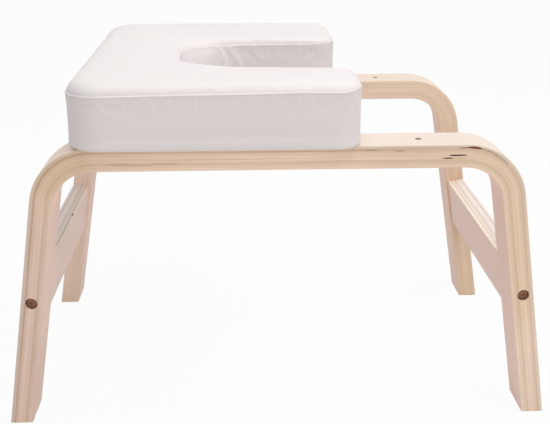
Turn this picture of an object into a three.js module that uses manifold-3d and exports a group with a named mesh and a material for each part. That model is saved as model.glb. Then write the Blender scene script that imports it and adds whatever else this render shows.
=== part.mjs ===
// A yoga headstand stool, in millimetres: +Z up, the origin on the floor under the middle of
// the frames, and +X towards the open end, where the hands hold the bare rails.
//
// Two side frames, each a strip of laminated veneer bent into an upside-down U with splayed
// legs, are joined at both ends by a plywood rail. Each rail end has one socket bolt that runs
// through the leg into a barrel nut, and two wooden pins that stop it turning. The seat is a
// U-shaped plywood board with foam and a sewn leather cover, and four bolts hold it from below
// in tee nuts. Its cut takes the neck, and the shoulders rest on its two arms.

import * as THREE from "three";
import { mergeVertices } from "three/addons/utils/BufferGeometryUtils.js";
import Module from "manifold-3d";

const wasm = await Module();
wasm.setup();

const QUARTER_TURN = Math.PI / 2;

// Running clearance between a fastener or skin and the piece that it sits in.
const CLEARANCE = 0.3;
// How far a cutting tool runs past the face that it opens.
const OVERRUN = 1;

// Side frames.
const FOOT_SPAN = 620; // over the outside of the feet, along X
const FRAME_HEIGHT = 326;
const FRAME_SPACING = 312; // between the middles of the two strips, along Y
const STRIP_WIDTH = 48;
const STRIP_THICKNESS = 25;
const LEG_SPLAY = THREE.MathUtils.degToRad(10.5);
const BEND_RADIUS = 68; // of the outer face
const STRIP_ARRIS = 1.3; // rounding of the strip's long edges
const FOOT_ARRIS = 1.5; // easing of the sawn ends

// End rails.
const RAIL_THICKNESS = 22;
const RAIL_DEPTH = 62; // measured along the leg
const RAIL_HEIGHT = 152.5; // of the rail's middle above the floor
const RAIL_SETBACK = 0.5; // of the rail's outer face from the leg's
const RAIL_ARRIS = 1.5;

// Socket bolts, all of one thread.
const BOLT_DIAMETER = 6;
const BOLT_HEAD_DIAMETER = 11;
const BOLT_HEAD_HEIGHT = 4.5;
const BOLT_HEAD_EDGE = 0.8; // rounding of the head's rim
const BOLT_POINT = 1; // chamfer at the tip
const SOCKET_ACROSS_FLATS = 4;
const SOCKET_DEPTH = 2.8;

// Rail joints.
const BOLT_SINK = 3; // from the leg's face down to the bolt's head
const COUNTERBORE_DIAMETER = 12;
const BARREL_NUT_DIAMETER = 10;
const BARREL_NUT_LENGTH = 16;
const BARREL_NUT_INSET = 30; // from the rail's end to the nut's axis
const BARREL_NUT_SINK = 1; // below the rail's outer face
const BOLT_PAST_NUT = 5;
const PIN_DIAMETER = 8;
const PIN_LENGTH = 30;
const PIN_CHAMFER = 1;
const PIN_SPACING = 36; // between the two pins of a joint

// Seat holes in each frame. The seat takes two of the three, and the last one stays bare.
const SEAT_HOLE_INSET = 47; // from the end of the top's straight stretch to the outer hole
const SEAT_HOLES = 3;
const SEAT_BOLTS = 2;

// Seat, seen from above.
const SEAT_OVERHANG = 17; // past the outer face of each frame
const SEAT_BOLT_INSET = 71.5; // from the seat's closed end to the first bolt
const SEAT_ARM_INSET = 83.5; // from the last bolt to the ends of the arms
const SEAT_CLOSED_CORNER = 40;
const SEAT_ARM_CORNER = 26;
const NECK_CUT_WIDTH = 166;
const NECK_CUT_DEPTH = 193;
const NECK_CUT_FLAT = 1; // straight stretch between the two quarter rounds at its end
// An inset outline keeps at least this radius at its corners, as a share of the narrowest band.
const LEAST_CORNER_SHARE = 0.055;

// Seat, from the frame upwards.
const COVER_THICKNESS = 1.2;
const COVER_EDGE_RADIUS = 3.5; // where the cover turns under the board
const COVER_HEM = 25; // of the turned-in edge, from the seat's outline
const SEAM_HEIGHT = 59; // above the frame, where the side band meets the top panel
const SEAM_PINCH = 1.2; // the stitched edge is drawn in by this
const SIDE_DRAW_IN = 0.7; // of the side band at the board, from where it is fullest
const CROWN_HEIGHT = 11;
const CROWN_REACH = 10; // distance from the seam over which most of the crown rises
const CROWN_FLAT_SHARE = 0.4; // of the narrowest band: the inset past which the top is level
const BOARD_THICKNESS = 12;
const BOARD_ARRIS = 2.5; // of its lower edge, which the cover goes round
const DUST_COVER_THICKNESS = 0.6;
const DUST_COVER_HOLE = 12;

// Washers and tee nuts of the seat bolts.
const WASHER_DIAMETER = 17;
const WASHER_THICKNESS = 1.6;
const TEE_FLANGE_DIAMETER = 18;
const TEE_FLANGE_THICKNESS = 1.4;
const TEE_BARREL_DIAMETER = 8;
const TEE_BARREL_LENGTH = 9;
const TEE_PRONGS = 4;
const TEE_PRONG_LENGTH = 5.5;
const TEE_PRONG_WIDTH = 3.6;
const TEE_PRONG_THICKNESS = 1;

// Facets.
const BEND_STEPS = 14;
const EDGE_STEPS = 2;
const HOLE_STEPS = 20;
const ROD_STEPS = 16;
const CLOSED_CORNER_STEPS = 5;
const ARM_CORNER_STEPS = 4;
const CUT_CORNER_STEPS = 7;
const COVER_EDGE_STEPS = 3;
const HEXAGON = 6;

// Places worked out from the sizes.
const boltHoleRadius = BOLT_DIAMETER / 2 + CLEARANCE;
const frameFace = (FRAME_SPACING + STRIP_WIDTH) / 2; // a frame's outer face, from the middle
const railEnd = (FRAME_SPACING - STRIP_WIDTH) / 2; // a frame's inner face, where the rails end
const railBoltLength =
  STRIP_WIDTH - BOLT_SINK - BOLT_HEAD_HEIGHT + BARREL_NUT_INSET + BARREL_NUT_DIAMETER / 2 + BOLT_PAST_NUT;
// Where the outer faces of a frame's top and leg would meet, and half of the top's straight stretch.
const shoulder = FOOT_SPAN / 2 - FRAME_HEIGHT * Math.tan(LEG_SPLAY);
const topStraight = shoulder - BEND_RADIUS * Math.tan((QUARTER_TURN - LEG_SPLAY) / 2);
const holeStart = SEAT_HOLE_INSET - topStraight;
const holePitch = (-holeStart * 2) / (SEAT_HOLES - 1);
const seatClosedEnd = holeStart - SEAT_BOLT_INSET;
const seatOpenEnd = holeStart + holePitch * (SEAT_BOLTS - 1) + SEAT_ARM_INSET;
const seatHalfWidth = frameFace + SEAT_OVERHANG;
// The seat's narrowest band: across an arm, or across its closed end.
const narrowestBand = Math.min(
  seatHalfWidth - NECK_CUT_WIDTH / 2,
  seatOpenEnd - seatClosedEnd - NECK_CUT_DEPTH,
);
const leastCorner = LEAST_CORNER_SHARE * narrowestBand;
const crownFlat = CROWN_FLAT_SHARE * narrowestBand;
const seatBottom = FRAME_HEIGHT;
const boardBottom = seatBottom + COVER_THICKNESS;
const boardTop = boardBottom + BOARD_THICKNESS;
const seamLevel = seatBottom + SEAM_HEIGHT;
const seatBoltLength = WASHER_THICKNESS + STRIP_THICKNESS + COVER_THICKNESS + BOARD_THICKNESS;

// Solids.

// A closed geometry as a solid that can be cut and joined.
function toSolid(geometry) {
  const bare = geometry.clone();
  bare.deleteAttribute("normal");
  bare.deleteAttribute("uv");
  const merged = mergeVertices(bare);
  return new wasm.Manifold(
    new wasm.Mesh({
      numProp: 3,
      vertProperties: new Float32Array(merged.attributes.position.array),
      triVerts: new Uint32Array(merged.index.array),
    }),
  );
}

// The solid's triangles as a geometry.
function toGeometry(solid) {
  const { vertProperties, triVerts } = solid.getMesh();
  const geometry = new THREE.BufferGeometry();
  geometry.setAttribute("position", new THREE.BufferAttribute(vertProperties, 3));
  geometry.setIndex(new THREE.BufferAttribute(triVerts, 1));
  geometry.computeVertexNormals();
  return geometry;
}

function cut(geometry, tools) {
  return toGeometry(tools.reduce((left, tool) => left.subtract(toSolid(tool)), toSolid(geometry)));
}

function join(geometries) {
  return toGeometry(geometries.map(toSolid).reduce((sum, solid) => sum.add(solid)));
}

// Outlines.

// A polygon whose corners are rounded by arcs. Each corner is { at: [x, y], radius, steps }.
function filletedOutline(corners) {
  return corners.flatMap(({ at, radius, steps }, i) => {
    const corner = new THREE.Vector2(...at);
    const before = new THREE.Vector2(...corners.at(i - 1).at).sub(corner).normalize();
    const after = new THREE.Vector2(...corners[(i + 1) % corners.length].at).sub(corner).normalize();
    const halfAngle = Math.acos(before.dot(after)) / 2;
    const bisector = before.clone().add(after).normalize();
    const centre = corner.clone().addScaledVector(bisector, radius / Math.sin(halfAngle));
    const reach = radius / Math.tan(halfAngle);
    const start = corner.clone().addScaledVector(before, reach).sub(centre).angle();
    const turn = Math.sign(after.cross(before)) * (Math.PI - halfAngle * 2);
    return Array.from({ length: steps + 1 }, (_, k) => {
      const angle = start + (turn * k) / steps;
      return new THREE.Vector2(centre.x + radius * Math.cos(angle), centre.y + radius * Math.sin(angle));
    });
  });
}

// Turns a shape drawn on X and Y and extruded along Z into one drawn on X and Z, extruded along -Y.
const STAND_UP = new THREE.Matrix4().set(1, 0, 0, 0, 0, 0, -1, 0, 0, 1, 0, 0, 0, 0, 0, 1);

// A board standing on edge: an outline on X and Z, carried from y = near to y = far, with its
// face edges rounded by arris.
function standingBoard(outline, near, far, arris) {
  const geometry = new THREE.ExtrudeGeometry(new THREE.Shape(outline), {
    depth: far - near - arris * 2,
    bevelThickness: arris,
    bevelSize: arris,
    bevelOffset: -arris,
    bevelSegments: EDGE_STEPS,
  });
  return geometry.applyMatrix4(STAND_UP).translate(0, far - arris, 0);
}

// Cylinders.

function rodAlongY(radius, from, to, x, z, steps = HOLE_STEPS) {
  const rod = new THREE.CylinderGeometry(radius, radius, to - from, steps);
  return rod.translate(x, (from + to) / 2, z);
}

function rodAlongZ(radius, from, to, x, y, steps = HOLE_STEPS) {
  const rod = new THREE.CylinderGeometry(radius, radius, to - from, steps);
  return rod.rotateX(QUARTER_TURN).translate(x, y, (from + to) / 2);
}

// A socket bolt standing on its head: the underside of the head at 0 and the tip at +Y.
function socketBolt(length) {
  const shank = BOLT_DIAMETER / 2;
  const head = BOLT_HEAD_DIAMETER / 2;
  const outline = [
    [0, -BOLT_HEAD_HEIGHT],
    [head - BOLT_HEAD_EDGE, -BOLT_HEAD_HEIGHT],
    [head, BOLT_HEAD_EDGE - BOLT_HEAD_HEIGHT],
    [head, 0],
    [shank, 0],
    [shank, length - BOLT_POINT],
    [shank - BOLT_POINT, length],
    [0, length],
  ];
  const body = new THREE.LatheGeometry(outline.map(([r, y]) => new THREE.Vector2(r, y)), ROD_STEPS);
  const socketRadius = (SOCKET_ACROSS_FLATS / 2) / Math.cos(Math.PI / HEXAGON);
  const top = -BOLT_HEAD_HEIGHT;
  const socket = rodAlongY(socketRadius, top - OVERRUN, top + SOCKET_DEPTH, 0, 0, HEXAGON);
  return cut(body, [socket]);
}

// One end of the stool: side is 1 at the open end and -1 at the closed end.

// The rail's own axes on X and Z, and its middle: out is square to its face and up runs along the leg.
function railAxes(side) {
  const out = new THREE.Vector2(side * Math.cos(LEG_SPLAY), Math.sin(LEG_SPLAY));
  const up = new THREE.Vector2(-side * Math.sin(LEG_SPLAY), Math.cos(LEG_SPLAY));
  const depth = (RAIL_SETBACK + RAIL_THICKNESS / 2) / Math.cos(LEG_SPLAY);
  const x = FOOT_SPAN / 2 - RAIL_HEIGHT * Math.tan(LEG_SPLAY) - depth;
  return { out, up, middle: new THREE.Vector2(side * x, RAIL_HEIGHT) };
}

// A point of the rail's cross-section: so far outwards and so far up the leg from its middle.
function onRail(side, outwards, upwards) {
  const { out, up, middle } = railAxes(side);
  return middle.clone().addScaledVector(out, outwards).addScaledVector(up, upwards);
}

const sides = { closed: -1, open: 1 };
const frames = { front: -1, rear: 1 };
const pinOffsets = { lower: -PIN_SPACING / 2, upper: PIN_SPACING / 2 };

// The bent strip's outline on X and Z: two feet, two outer bends and two inner bends.
function frameOutline() {
  const foot = FOOT_SPAN / 2;
  const lean = Math.tan(LEG_SPLAY);
  const footInner = foot - STRIP_THICKNESS / Math.cos(LEG_SPLAY);
  const under = FRAME_HEIGHT - STRIP_THICKNESS;
  const armpit = footInner - under * lean;
  const innerRadius = BEND_RADIUS - STRIP_THICKNESS;
  const eased = { radius: FOOT_ARRIS, steps: EDGE_STEPS };
  return filletedOutline([
    { at: [footInner, 0], ...eased },
    { at: [foot, 0], ...eased },
    { at: [shoulder, FRAME_HEIGHT], radius: BEND_RADIUS, steps: BEND_STEPS },
    { at: [-shoulder, FRAME_HEIGHT], radius: BEND_RADIUS, steps: BEND_STEPS },
    { at: [-foot, 0], ...eased },
    { at: [-footInner, 0], ...eased },
    { at: [-armpit, under], radius: innerRadius, steps: BEND_STEPS },
    { at: [armpit, under], radius: innerRadius, steps: BEND_STEPS },
  ]);
}

// Where the seat's bolt holes lie along a frame, from the closed end.
const seatHolePlaces = Array.from({ length: SEAT_HOLES }, (_, i) => holeStart + i * holePitch);
const seatBoltPlaces = seatHolePlaces.slice(0, SEAT_BOLTS);

// A side frame: the bent strip, drilled for the rail bolts and their pins, and for the seat.
function sideFrame(frame) {
  const near = Math.min(frame * frameFace, frame * railEnd);
  const strip = standingBoard(frameOutline(), near, near + STRIP_WIDTH, STRIP_ARRIS);
  const outer = frame * (frameFace + OVERRUN);
  const inner = frame * (railEnd - OVERRUN);
  const seat = frame * (frameFace - BOLT_SINK - BOLT_HEAD_HEIGHT);
  const pinFloor = frame * (railEnd + PIN_LENGTH / 2 + CLEARANCE);
  const drill = (radius, a, b, at) => rodAlongY(radius, Math.min(a, b), Math.max(a, b), at.x, at.y);
  const joints = Object.values(sides).flatMap((side) => [
    drill(COUNTERBORE_DIAMETER / 2, outer, seat, onRail(side, 0, 0)),
    drill(boltHoleRadius, outer, inner, onRail(side, 0, 0)),
    ...Object.values(pinOffsets).map((offset) =>
      drill(PIN_DIAMETER / 2 + CLEARANCE, inner, pinFloor, onRail(side, 0, offset)),
    ),
  ]);
  const under = FRAME_HEIGHT - STRIP_THICKNESS;
  const seatHoles = seatHolePlaces.map((x) =>
    rodAlongZ(boltHoleRadius, under - OVERRUN, FRAME_HEIGHT + OVERRUN, x, frame * FRAME_SPACING / 2),
  );
  return cut(strip, [...joints, ...seatHoles]);
}

// A barrel nut's axis square to the rail's face, with its ends at so far outwards from the middle.
function rodThroughRail(radius, from, to, side, y, steps = HOLE_STEPS) {
  const rod = new THREE.CylinderGeometry(radius, radius, to - from, steps);
  const at = onRail(side, (from + to) / 2, 0);
  const turn = side < 0 ? Math.PI : 0;
  return rod.rotateZ(-QUARTER_TURN).rotateY(turn - side * LEG_SPLAY).translate(at.x, y, at.y);
}

const nutOuterEnd = RAIL_THICKNESS / 2 - BARREL_NUT_SINK;
const nutInnerEnd = nutOuterEnd - BARREL_NUT_LENGTH;
const nutPlace = railEnd - BARREL_NUT_INSET;

// An end rail: a board with rounded edges, drilled at each end for the bolt, the pins and the nut.
function endRail(side) {
  const halfThick = RAIL_THICKNESS / 2;
  const halfDeep = RAIL_DEPTH / 2;
  const corners = [
    [-halfThick, -halfDeep],
    [halfThick, -halfDeep],
    [halfThick, halfDeep],
    [-halfThick, halfDeep],
  ].map(([a, b]) => ({ at: onRail(side, a, b).toArray(), radius: RAIL_ARRIS, steps: EDGE_STEPS }));
  const outline = filletedOutline(side > 0 ? corners : corners.reverse());
  const length = railEnd * 2;
  const board = new THREE.ExtrudeGeometry(new THREE.Shape(outline), { depth: length, bevelEnabled: false });
  const bore = nutPlace - BARREL_NUT_DIAMETER / 2 - BOLT_PAST_NUT - OVERRUN;
  const pinFloor = railEnd - PIN_LENGTH / 2 - CLEARANCE;
  const middle = onRail(side, 0, 0);
  const tools = Object.values(frames).flatMap((frame) => {
    const drill = (radius, depth, at) => {
      const ends = [frame * depth, frame * (railEnd + OVERRUN)];
      return rodAlongY(radius, Math.min(...ends), Math.max(...ends), at.x, at.y);
    };
    return [
      drill(boltHoleRadius, bore, middle),
      ...Object.values(pinOffsets).map((offset) =>
        drill(PIN_DIAMETER / 2 + CLEARANCE, pinFloor, onRail(side, 0, offset)),
      ),
      rodThroughRail(
        BARREL_NUT_DIAMETER / 2 + CLEARANCE,
        nutInnerEnd - CLEARANCE,
        halfThick + OVERRUN,
        side,
        frame * nutPlace,
      ),
    ];
  });
  return cut(board.applyMatrix4(STAND_UP).translate(0, railEnd, 0), tools);
}

function barrelNut(side, frame) {
  const y = frame * nutPlace;
  const body = rodThroughRail(BARREL_NUT_DIAMETER / 2, nutInnerEnd, nutOuterEnd, side, y);
  const at = onRail(side, 0, 0);
  const reach = BARREL_NUT_DIAMETER / 2 + OVERRUN;
  return cut(body, [rodAlongY(boltHoleRadius, y - reach, y + reach, at.x, at.y, ROD_STEPS)]);
}

// A wooden pin with chamfered ends, along Y and centred on the origin.
function woodenPin() {
  const radius = PIN_DIAMETER / 2;
  const end = PIN_LENGTH / 2;
  const outline = [
    [0, -end],
    [radius - PIN_CHAMFER, -end],
    [radius, PIN_CHAMFER - end],
    [radius, end - PIN_CHAMFER],
    [radius - PIN_CHAMFER, end],
    [0, end],
  ];
  return new THREE.LatheGeometry(outline.map(([r, y]) => new THREE.Vector2(r, y)), ROD_STEPS);
}

// Seat.

// The seat from above, drawn in by inset: a block with rounded corners and a round-ended cut for
// the neck from its open end. At every inset the outline has the same count of points.
function seatOutline(inset) {
  const left = seatClosedEnd + inset;
  const right = seatOpenEnd - inset;
  const side = seatHalfWidth - inset;
  const cutSide = NECK_CUT_WIDTH / 2 + inset;
  const cutEnd = seatOpenEnd - NECK_CUT_DEPTH - inset;
  const closed = { radius: Math.max(SEAT_CLOSED_CORNER - inset, leastCorner), steps: CLOSED_CORNER_STEPS };
  const arm = { radius: Math.max(SEAT_ARM_CORNER - inset, leastCorner), steps: ARM_CORNER_STEPS };
  const neck = { radius: cutSide - NECK_CUT_FLAT / 2, steps: CUT_CORNER_STEPS };
  return filletedOutline([
    { at: [left, -side], ...closed },
    { at: [right, -side], ...arm },
    { at: [right, -cutSide], ...arm },
    { at: [cutEnd, -cutSide], ...neck },
    { at: [cutEnd, cutSide], ...neck },
    { at: [right, cutSide], ...arm },
    { at: [right, side], ...arm },
    { at: [left, side], ...closed },
  ]);
}

// A solid of stacked seat outlines. Each level is [inset, height], and both ends are closed flat.
// The levels climb from the underside, or go over the top and down again inside for a skin.
function stackedSeat(levels) {
  const rings = levels.map(([inset, z]) => seatOutline(inset).map((p) => [p.x, p.y, z]));
  const count = rings[0].length;
  const index = [];
  for (let level = 0; level + 1 < rings.length; level += 1) {
    for (let k = 0; k < count; k += 1) {
      const next = (k + 1) % count;
      const [a, b] = [level * count + k, level * count + next];
      const [c, d] = [a + count, b + count];
      index.push(a, b, d, a, d, c);
    }
  }
  const cap = (level) => THREE.ShapeUtils.triangulateShape(seatOutline(levels[level][0]), []);
  const last = rings.length - 1;
  cap(0).forEach(([a, b, c]) => index.push(c, b, a));
  cap(last).forEach(([a, b, c]) => index.push(...[a, b, c].map((k) => k + last * count)));
  const geometry = new THREE.BufferGeometry();
  geometry.setAttribute("position", new THREE.Float32BufferAttribute(rings.flat(2), 3));
  geometry.setIndex(index);
  return geometry;
}

// Insets of the rings over the crown, as shares of the way to where the top is level.
const CROWN_RING_SHARES = [0.05, 0.14, 0.28, 0.5, 1];
// Where the side band is fullest, as a share of its height.
const FULLEST_SHARE = 0.62;

// The padded seat's section from the side band to the middle of its top, as [inset, height],
// on a surface that lies depth inside the cover's outer face.
function upperProfile(depth) {
  const wallFoot = seatBottom + COVER_EDGE_RADIUS;
  const wall = [
    [SIDE_DRAW_IN, wallFoot],
    [0, THREE.MathUtils.lerp(wallFoot, seamLevel, FULLEST_SHARE)],
    [SEAM_PINCH, seamLevel],
  ];
  const crown = CROWN_RING_SHARES.map((share) => {
    const inset = share * crownFlat;
    return [SEAM_PINCH + inset, seamLevel + CROWN_HEIGHT * (1 - Math.exp(-inset / CROWN_REACH))];
  });
  const inwards = ([inset, z]) => [inset + depth, z];
  const inwardsAndDown = ([inset, z]) => [inset + depth, z - depth];
  return [...wall.map(inwards), ...crown.map(inwardsAndDown)];
}

// The rounded edge where the cover turns under the board, from the flat underside outwards.
function lowerProfile(depth) {
  const radius = COVER_EDGE_RADIUS - depth;
  return Array.from({ length: COVER_EDGE_STEPS }, (_, k) => {
    const angle = (QUARTER_TURN * k) / COVER_EDGE_STEPS;
    const inset = SIDE_DRAW_IN + COVER_EDGE_RADIUS - radius * Math.sin(angle);
    return [inset, seatBottom + COVER_EDGE_RADIUS - radius * Math.cos(angle)];
  });
}

const skinGap = COVER_THICKNESS + CLEARANCE;

// The sewn cover: one skin over the top and sides, turned under the board all round.
function seatCover() {
  const outside = [[COVER_HEM, seatBottom], ...lowerProfile(0), ...upperProfile(0)];
  const lining = [...lowerProfile(COVER_THICKNESS), ...upperProfile(COVER_THICKNESS)];
  return stackedSeat([...lining.reverse(), [COVER_HEM, boardBottom], ...outside]);
}

// The foam block, which stands on the board and is hollowed over the tee nuts.
function seatFoam() {
  const levels = [[SIDE_DRAW_IN + skinGap, boardTop], ...upperProfile(skinGap).slice(1)];
  const pockets = seatBoltPoints().map(([x, y]) => {
    const radius = TEE_FLANGE_DIAMETER / 2 + CLEARANCE;
    return rodAlongZ(radius, boardTop - OVERRUN, boardTop + TEE_FLANGE_THICKNESS + CLEARANCE, x, y);
  });
  return cut(stackedSeat(levels), pockets);
}

// The four seat bolts from above: two along each frame.
function seatBoltPoints() {
  return Object.values(frames).flatMap((frame) => seatBoltPlaces.map((x) => [x, frame * FRAME_SPACING / 2]));
}

// A tee nut's prongs, bent down from the rim of its flange, each grown by so much all round.
function teeProngs(x, y, grow) {
  const half = TEE_PRONG_WIDTH / 2 + grow;
  const tip = TEE_PRONG_LENGTH + grow;
  const outline = [
    [-half, TEE_FLANGE_THICKNESS / 2],
    [-half / 2, -tip],
    [half / 2, -tip],
    [half, TEE_FLANGE_THICKNESS / 2],
  ].map((p) => new THREE.Vector2(...p));
  const thick = TEE_PRONG_THICKNESS + grow * 2;
  const rim = TEE_FLANGE_DIAMETER / 2 - TEE_PRONG_THICKNESS;
  return Array.from({ length: TEE_PRONGS }, (_, k) => {
    const prong = new THREE.ExtrudeGeometry(new THREE.Shape(outline), { depth: thick, bevelEnabled: false });
    prong.applyMatrix4(STAND_UP).translate(0, rim + thick / 2, 0);
    return prong.rotateZ(((k * 2 + 1) * Math.PI) / TEE_PRONGS).translate(x, y, boardTop);
  });
}

function teeNut(x, y) {
  const flange = rodAlongZ(TEE_FLANGE_DIAMETER / 2, boardTop, boardTop + TEE_FLANGE_THICKNESS, x, y);
  const barrel = rodAlongZ(TEE_BARREL_DIAMETER / 2, boardTop - TEE_BARREL_LENGTH, boardTop + CLEARANCE, x, y);
  const boreStart = boardTop - TEE_BARREL_LENGTH - OVERRUN;
  const boreEnd = boardTop + TEE_FLANGE_THICKNESS + OVERRUN;
  const bore = rodAlongZ(boltHoleRadius, boreStart, boreEnd, x, y, ROD_STEPS);
  return cut(join([flange, barrel, ...teeProngs(x, y, 0)]), [bore]);
}

// The seat's plywood board, with its lower edge rounded for the cover.
function seatBoard() {
  const boardInset = SIDE_DRAW_IN + skinGap;
  const levels = [
    [boardInset + BOARD_ARRIS, boardBottom],
    [boardInset, boardBottom + BOARD_ARRIS],
    [boardInset, boardTop],
  ];
  const tools = seatBoltPoints().flatMap(([x, y]) => [
    rodAlongZ(TEE_BARREL_DIAMETER / 2 + CLEARANCE, boardBottom - OVERRUN, boardTop + OVERRUN, x, y),
    ...teeProngs(x, y, CLEARANCE),
  ]);
  return cut(stackedSeat(levels), tools);
}

// The thin cloth stapled over the raw board between the cover's turned-in edges.
function dustCover() {
  const inset = COVER_HEM + CLEARANCE;
  const cloth = stackedSeat([
    [inset, boardBottom - DUST_COVER_THICKNESS],
    [inset, boardBottom],
  ]);
  const holes = seatBoltPoints().map(([x, y]) =>
    rodAlongZ(DUST_COVER_HOLE / 2, seatBottom - OVERRUN, boardBottom + OVERRUN, x, y, ROD_STEPS),
  );
  return cut(cloth, holes);
}

function washer(x, y) {
  const top = FRAME_HEIGHT - STRIP_THICKNESS;
  const bottom = top - WASHER_THICKNESS;
  const disc = rodAlongZ(WASHER_DIAMETER / 2, bottom, top, x, y);
  return cut(disc, [rodAlongZ(boltHoleRadius, bottom - OVERRUN, top + OVERRUN, x, y, ROD_STEPS)]);
}

// Materials.
const veneer = new THREE.MeshStandardMaterial({ color: 0xe2c6a4, roughness: 0.6, metalness: 0 });
const plywood = new THREE.MeshStandardMaterial({ color: 0xe0c4a8, roughness: 0.65, metalness: 0 });
const beech = new THREE.MeshStandardMaterial({ color: 0xd2ab7c, roughness: 0.7, metalness: 0 });
const boardWood = new THREE.MeshStandardMaterial({ color: 0xc9a878, roughness: 0.75, metalness: 0 });
const bronzed = new THREE.MeshStandardMaterial({ color: 0x6e4f38, roughness: 0.45, metalness: 0.8 });
const zinc = new THREE.MeshStandardMaterial({ color: 0xb9bcc0, roughness: 0.35, metalness: 1 });
const leather = new THREE.MeshStandardMaterial({ color: 0xf1efed, roughness: 0.5, metalness: 0 });
const foam = new THREE.MeshStandardMaterial({ color: 0xf0e6c8, roughness: 0.95, metalness: 0 });
const cloth = new THREE.MeshStandardMaterial({ color: 0x2b2b2d, roughness: 0.95, metalness: 0 });

const stool = new THREE.Group();
stool.name = "headstand_stool";

function add(parent, name, geometry, material) {
  const mesh = new THREE.Mesh(geometry, material);
  mesh.name = name;
  parent.add(mesh);
  return mesh;
}

const base = new THREE.Group();
stool.add(base);
for (const [frameName, frame] of Object.entries(frames)) {
  add(base, `${frameName}_frame`, sideFrame(frame), veneer);
}
for (const [sideName, side] of Object.entries(sides)) {
  add(base, `${sideName}_end_rail`, endRail(side), plywood);
  for (const [frameName, frame] of Object.entries(frames)) {
    const joint = `${sideName}_${frameName}`;
    add(base, `barrel_nut_${joint}`, barrelNut(side, frame), zinc);
    const bolt = add(base, `rail_bolt_${joint}`, socketBolt(railBoltLength), bronzed);
    const axis = onRail(side, 0, 0);
    bolt.position.set(axis.x, frame * (frameFace - BOLT_SINK - BOLT_HEAD_HEIGHT), axis.y);
    bolt.rotation.x = frame > 0 ? Math.PI : 0;
    for (const [level, offset] of Object.entries(pinOffsets)) {
      const pin = add(base, `rail_pin_${joint}_${level}`, woodenPin(), beech);
      const at = onRail(side, 0, offset);
      pin.position.set(at.x, frame * railEnd, at.y);
    }
  }
}

const seat = new THREE.Group();
stool.add(seat);
add(seat, "seat_board", seatBoard(), boardWood);
add(seat, "seat_foam", seatFoam(), foam);
add(seat, "seat_cover", seatCover(), leather);
add(seat, "seat_dust_cover", dustCover(), cloth);
for (const [frameName, frame] of Object.entries(frames)) {
  seatBoltPlaces.forEach((x, i) => {
    const place = `${frameName}_${i + 1}`;
    const y = frame * FRAME_SPACING / 2;
    add(seat, `tee_nut_${place}`, teeNut(x, y), zinc);
    add(seat, `seat_washer_${place}`, washer(x, y), zinc);
    const bolt = add(seat, `seat_bolt_${place}`, socketBolt(seatBoltLength), zinc);
    bolt.position.set(x, y, FRAME_HEIGHT - STRIP_THICKNESS - WASHER_THICKNESS);
    bolt.rotation.x = QUARTER_TURN;
  });
}

export default stool;
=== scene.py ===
import math

import bmesh
import bpy
import numpy as np
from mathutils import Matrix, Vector
from mathutils.geometry import delaunay_2d_cdt


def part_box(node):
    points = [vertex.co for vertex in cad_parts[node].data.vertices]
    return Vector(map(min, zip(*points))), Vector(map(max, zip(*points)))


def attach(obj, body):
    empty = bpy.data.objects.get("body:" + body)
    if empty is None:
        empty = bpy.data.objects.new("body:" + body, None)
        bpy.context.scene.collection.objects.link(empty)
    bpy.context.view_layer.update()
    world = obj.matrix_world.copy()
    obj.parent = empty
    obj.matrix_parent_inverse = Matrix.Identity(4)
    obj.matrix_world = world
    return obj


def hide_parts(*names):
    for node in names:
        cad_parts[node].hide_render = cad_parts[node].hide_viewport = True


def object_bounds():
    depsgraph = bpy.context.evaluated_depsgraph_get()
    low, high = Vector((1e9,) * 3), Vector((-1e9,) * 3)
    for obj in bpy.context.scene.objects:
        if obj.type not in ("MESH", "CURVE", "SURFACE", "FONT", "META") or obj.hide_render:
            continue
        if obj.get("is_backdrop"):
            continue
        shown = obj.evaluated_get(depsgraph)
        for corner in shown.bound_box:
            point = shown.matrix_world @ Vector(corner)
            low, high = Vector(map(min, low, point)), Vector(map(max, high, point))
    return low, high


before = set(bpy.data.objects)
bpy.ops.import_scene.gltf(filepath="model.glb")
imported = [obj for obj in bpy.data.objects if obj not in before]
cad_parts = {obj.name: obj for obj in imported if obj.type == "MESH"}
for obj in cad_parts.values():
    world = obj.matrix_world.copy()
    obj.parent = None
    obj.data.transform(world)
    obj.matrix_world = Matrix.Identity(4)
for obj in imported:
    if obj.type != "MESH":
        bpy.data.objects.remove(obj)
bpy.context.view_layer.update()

scene = bpy.context.scene

# Camera.
# It stands close in front of the stool, a little to the left of its middle, and looks down at it
# with a small shift, as the photograph was framed.
VIEW_POINT = (-0.0395, -1.0329, 0.5741)
VIEW_YAW = math.radians(2.29)
VIEW_PITCH = math.radians(-23.0)
PHOTO_WIDTH = 550
FOCAL_PIXELS = 867.0
AXIS_PIXELS_LOW = 38
SENSOR_MM = 36

camera_data = bpy.data.cameras.new("camera")
camera_data.sensor_fit = "HORIZONTAL"
camera_data.sensor_width = SENSOR_MM
camera_data.lens = FOCAL_PIXELS / PHOTO_WIDTH * SENSOR_MM
camera_data.shift_y = AXIS_PIXELS_LOW / PHOTO_WIDTH
camera = bpy.data.objects.new("camera", camera_data)
camera.location = VIEW_POINT
camera.rotation_euler = (math.pi / 2 + VIEW_PITCH, 0, -VIEW_YAW)
scene.collection.objects.link(camera)
scene.camera = camera
scene.view_settings.view_transform = "Standard"

# Floor, sky and lamps.
# A matt white floor under a white sky, with one broad soft lamp high above and a weak one in front.
# What the camera and glossy surfaces see of the floor is mostly plain white, with the shadow kept.
FLOOR_HALF = 6
FLOOR_COLOUR = (0.86, 0.825, 0.80)
FLOOR_OWN_WHITE = 0.95
SKY_LIGHT = 0.43
SKY_SEEN = 1
LAMP_TARGET = (0, 0, 0.25)
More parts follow.
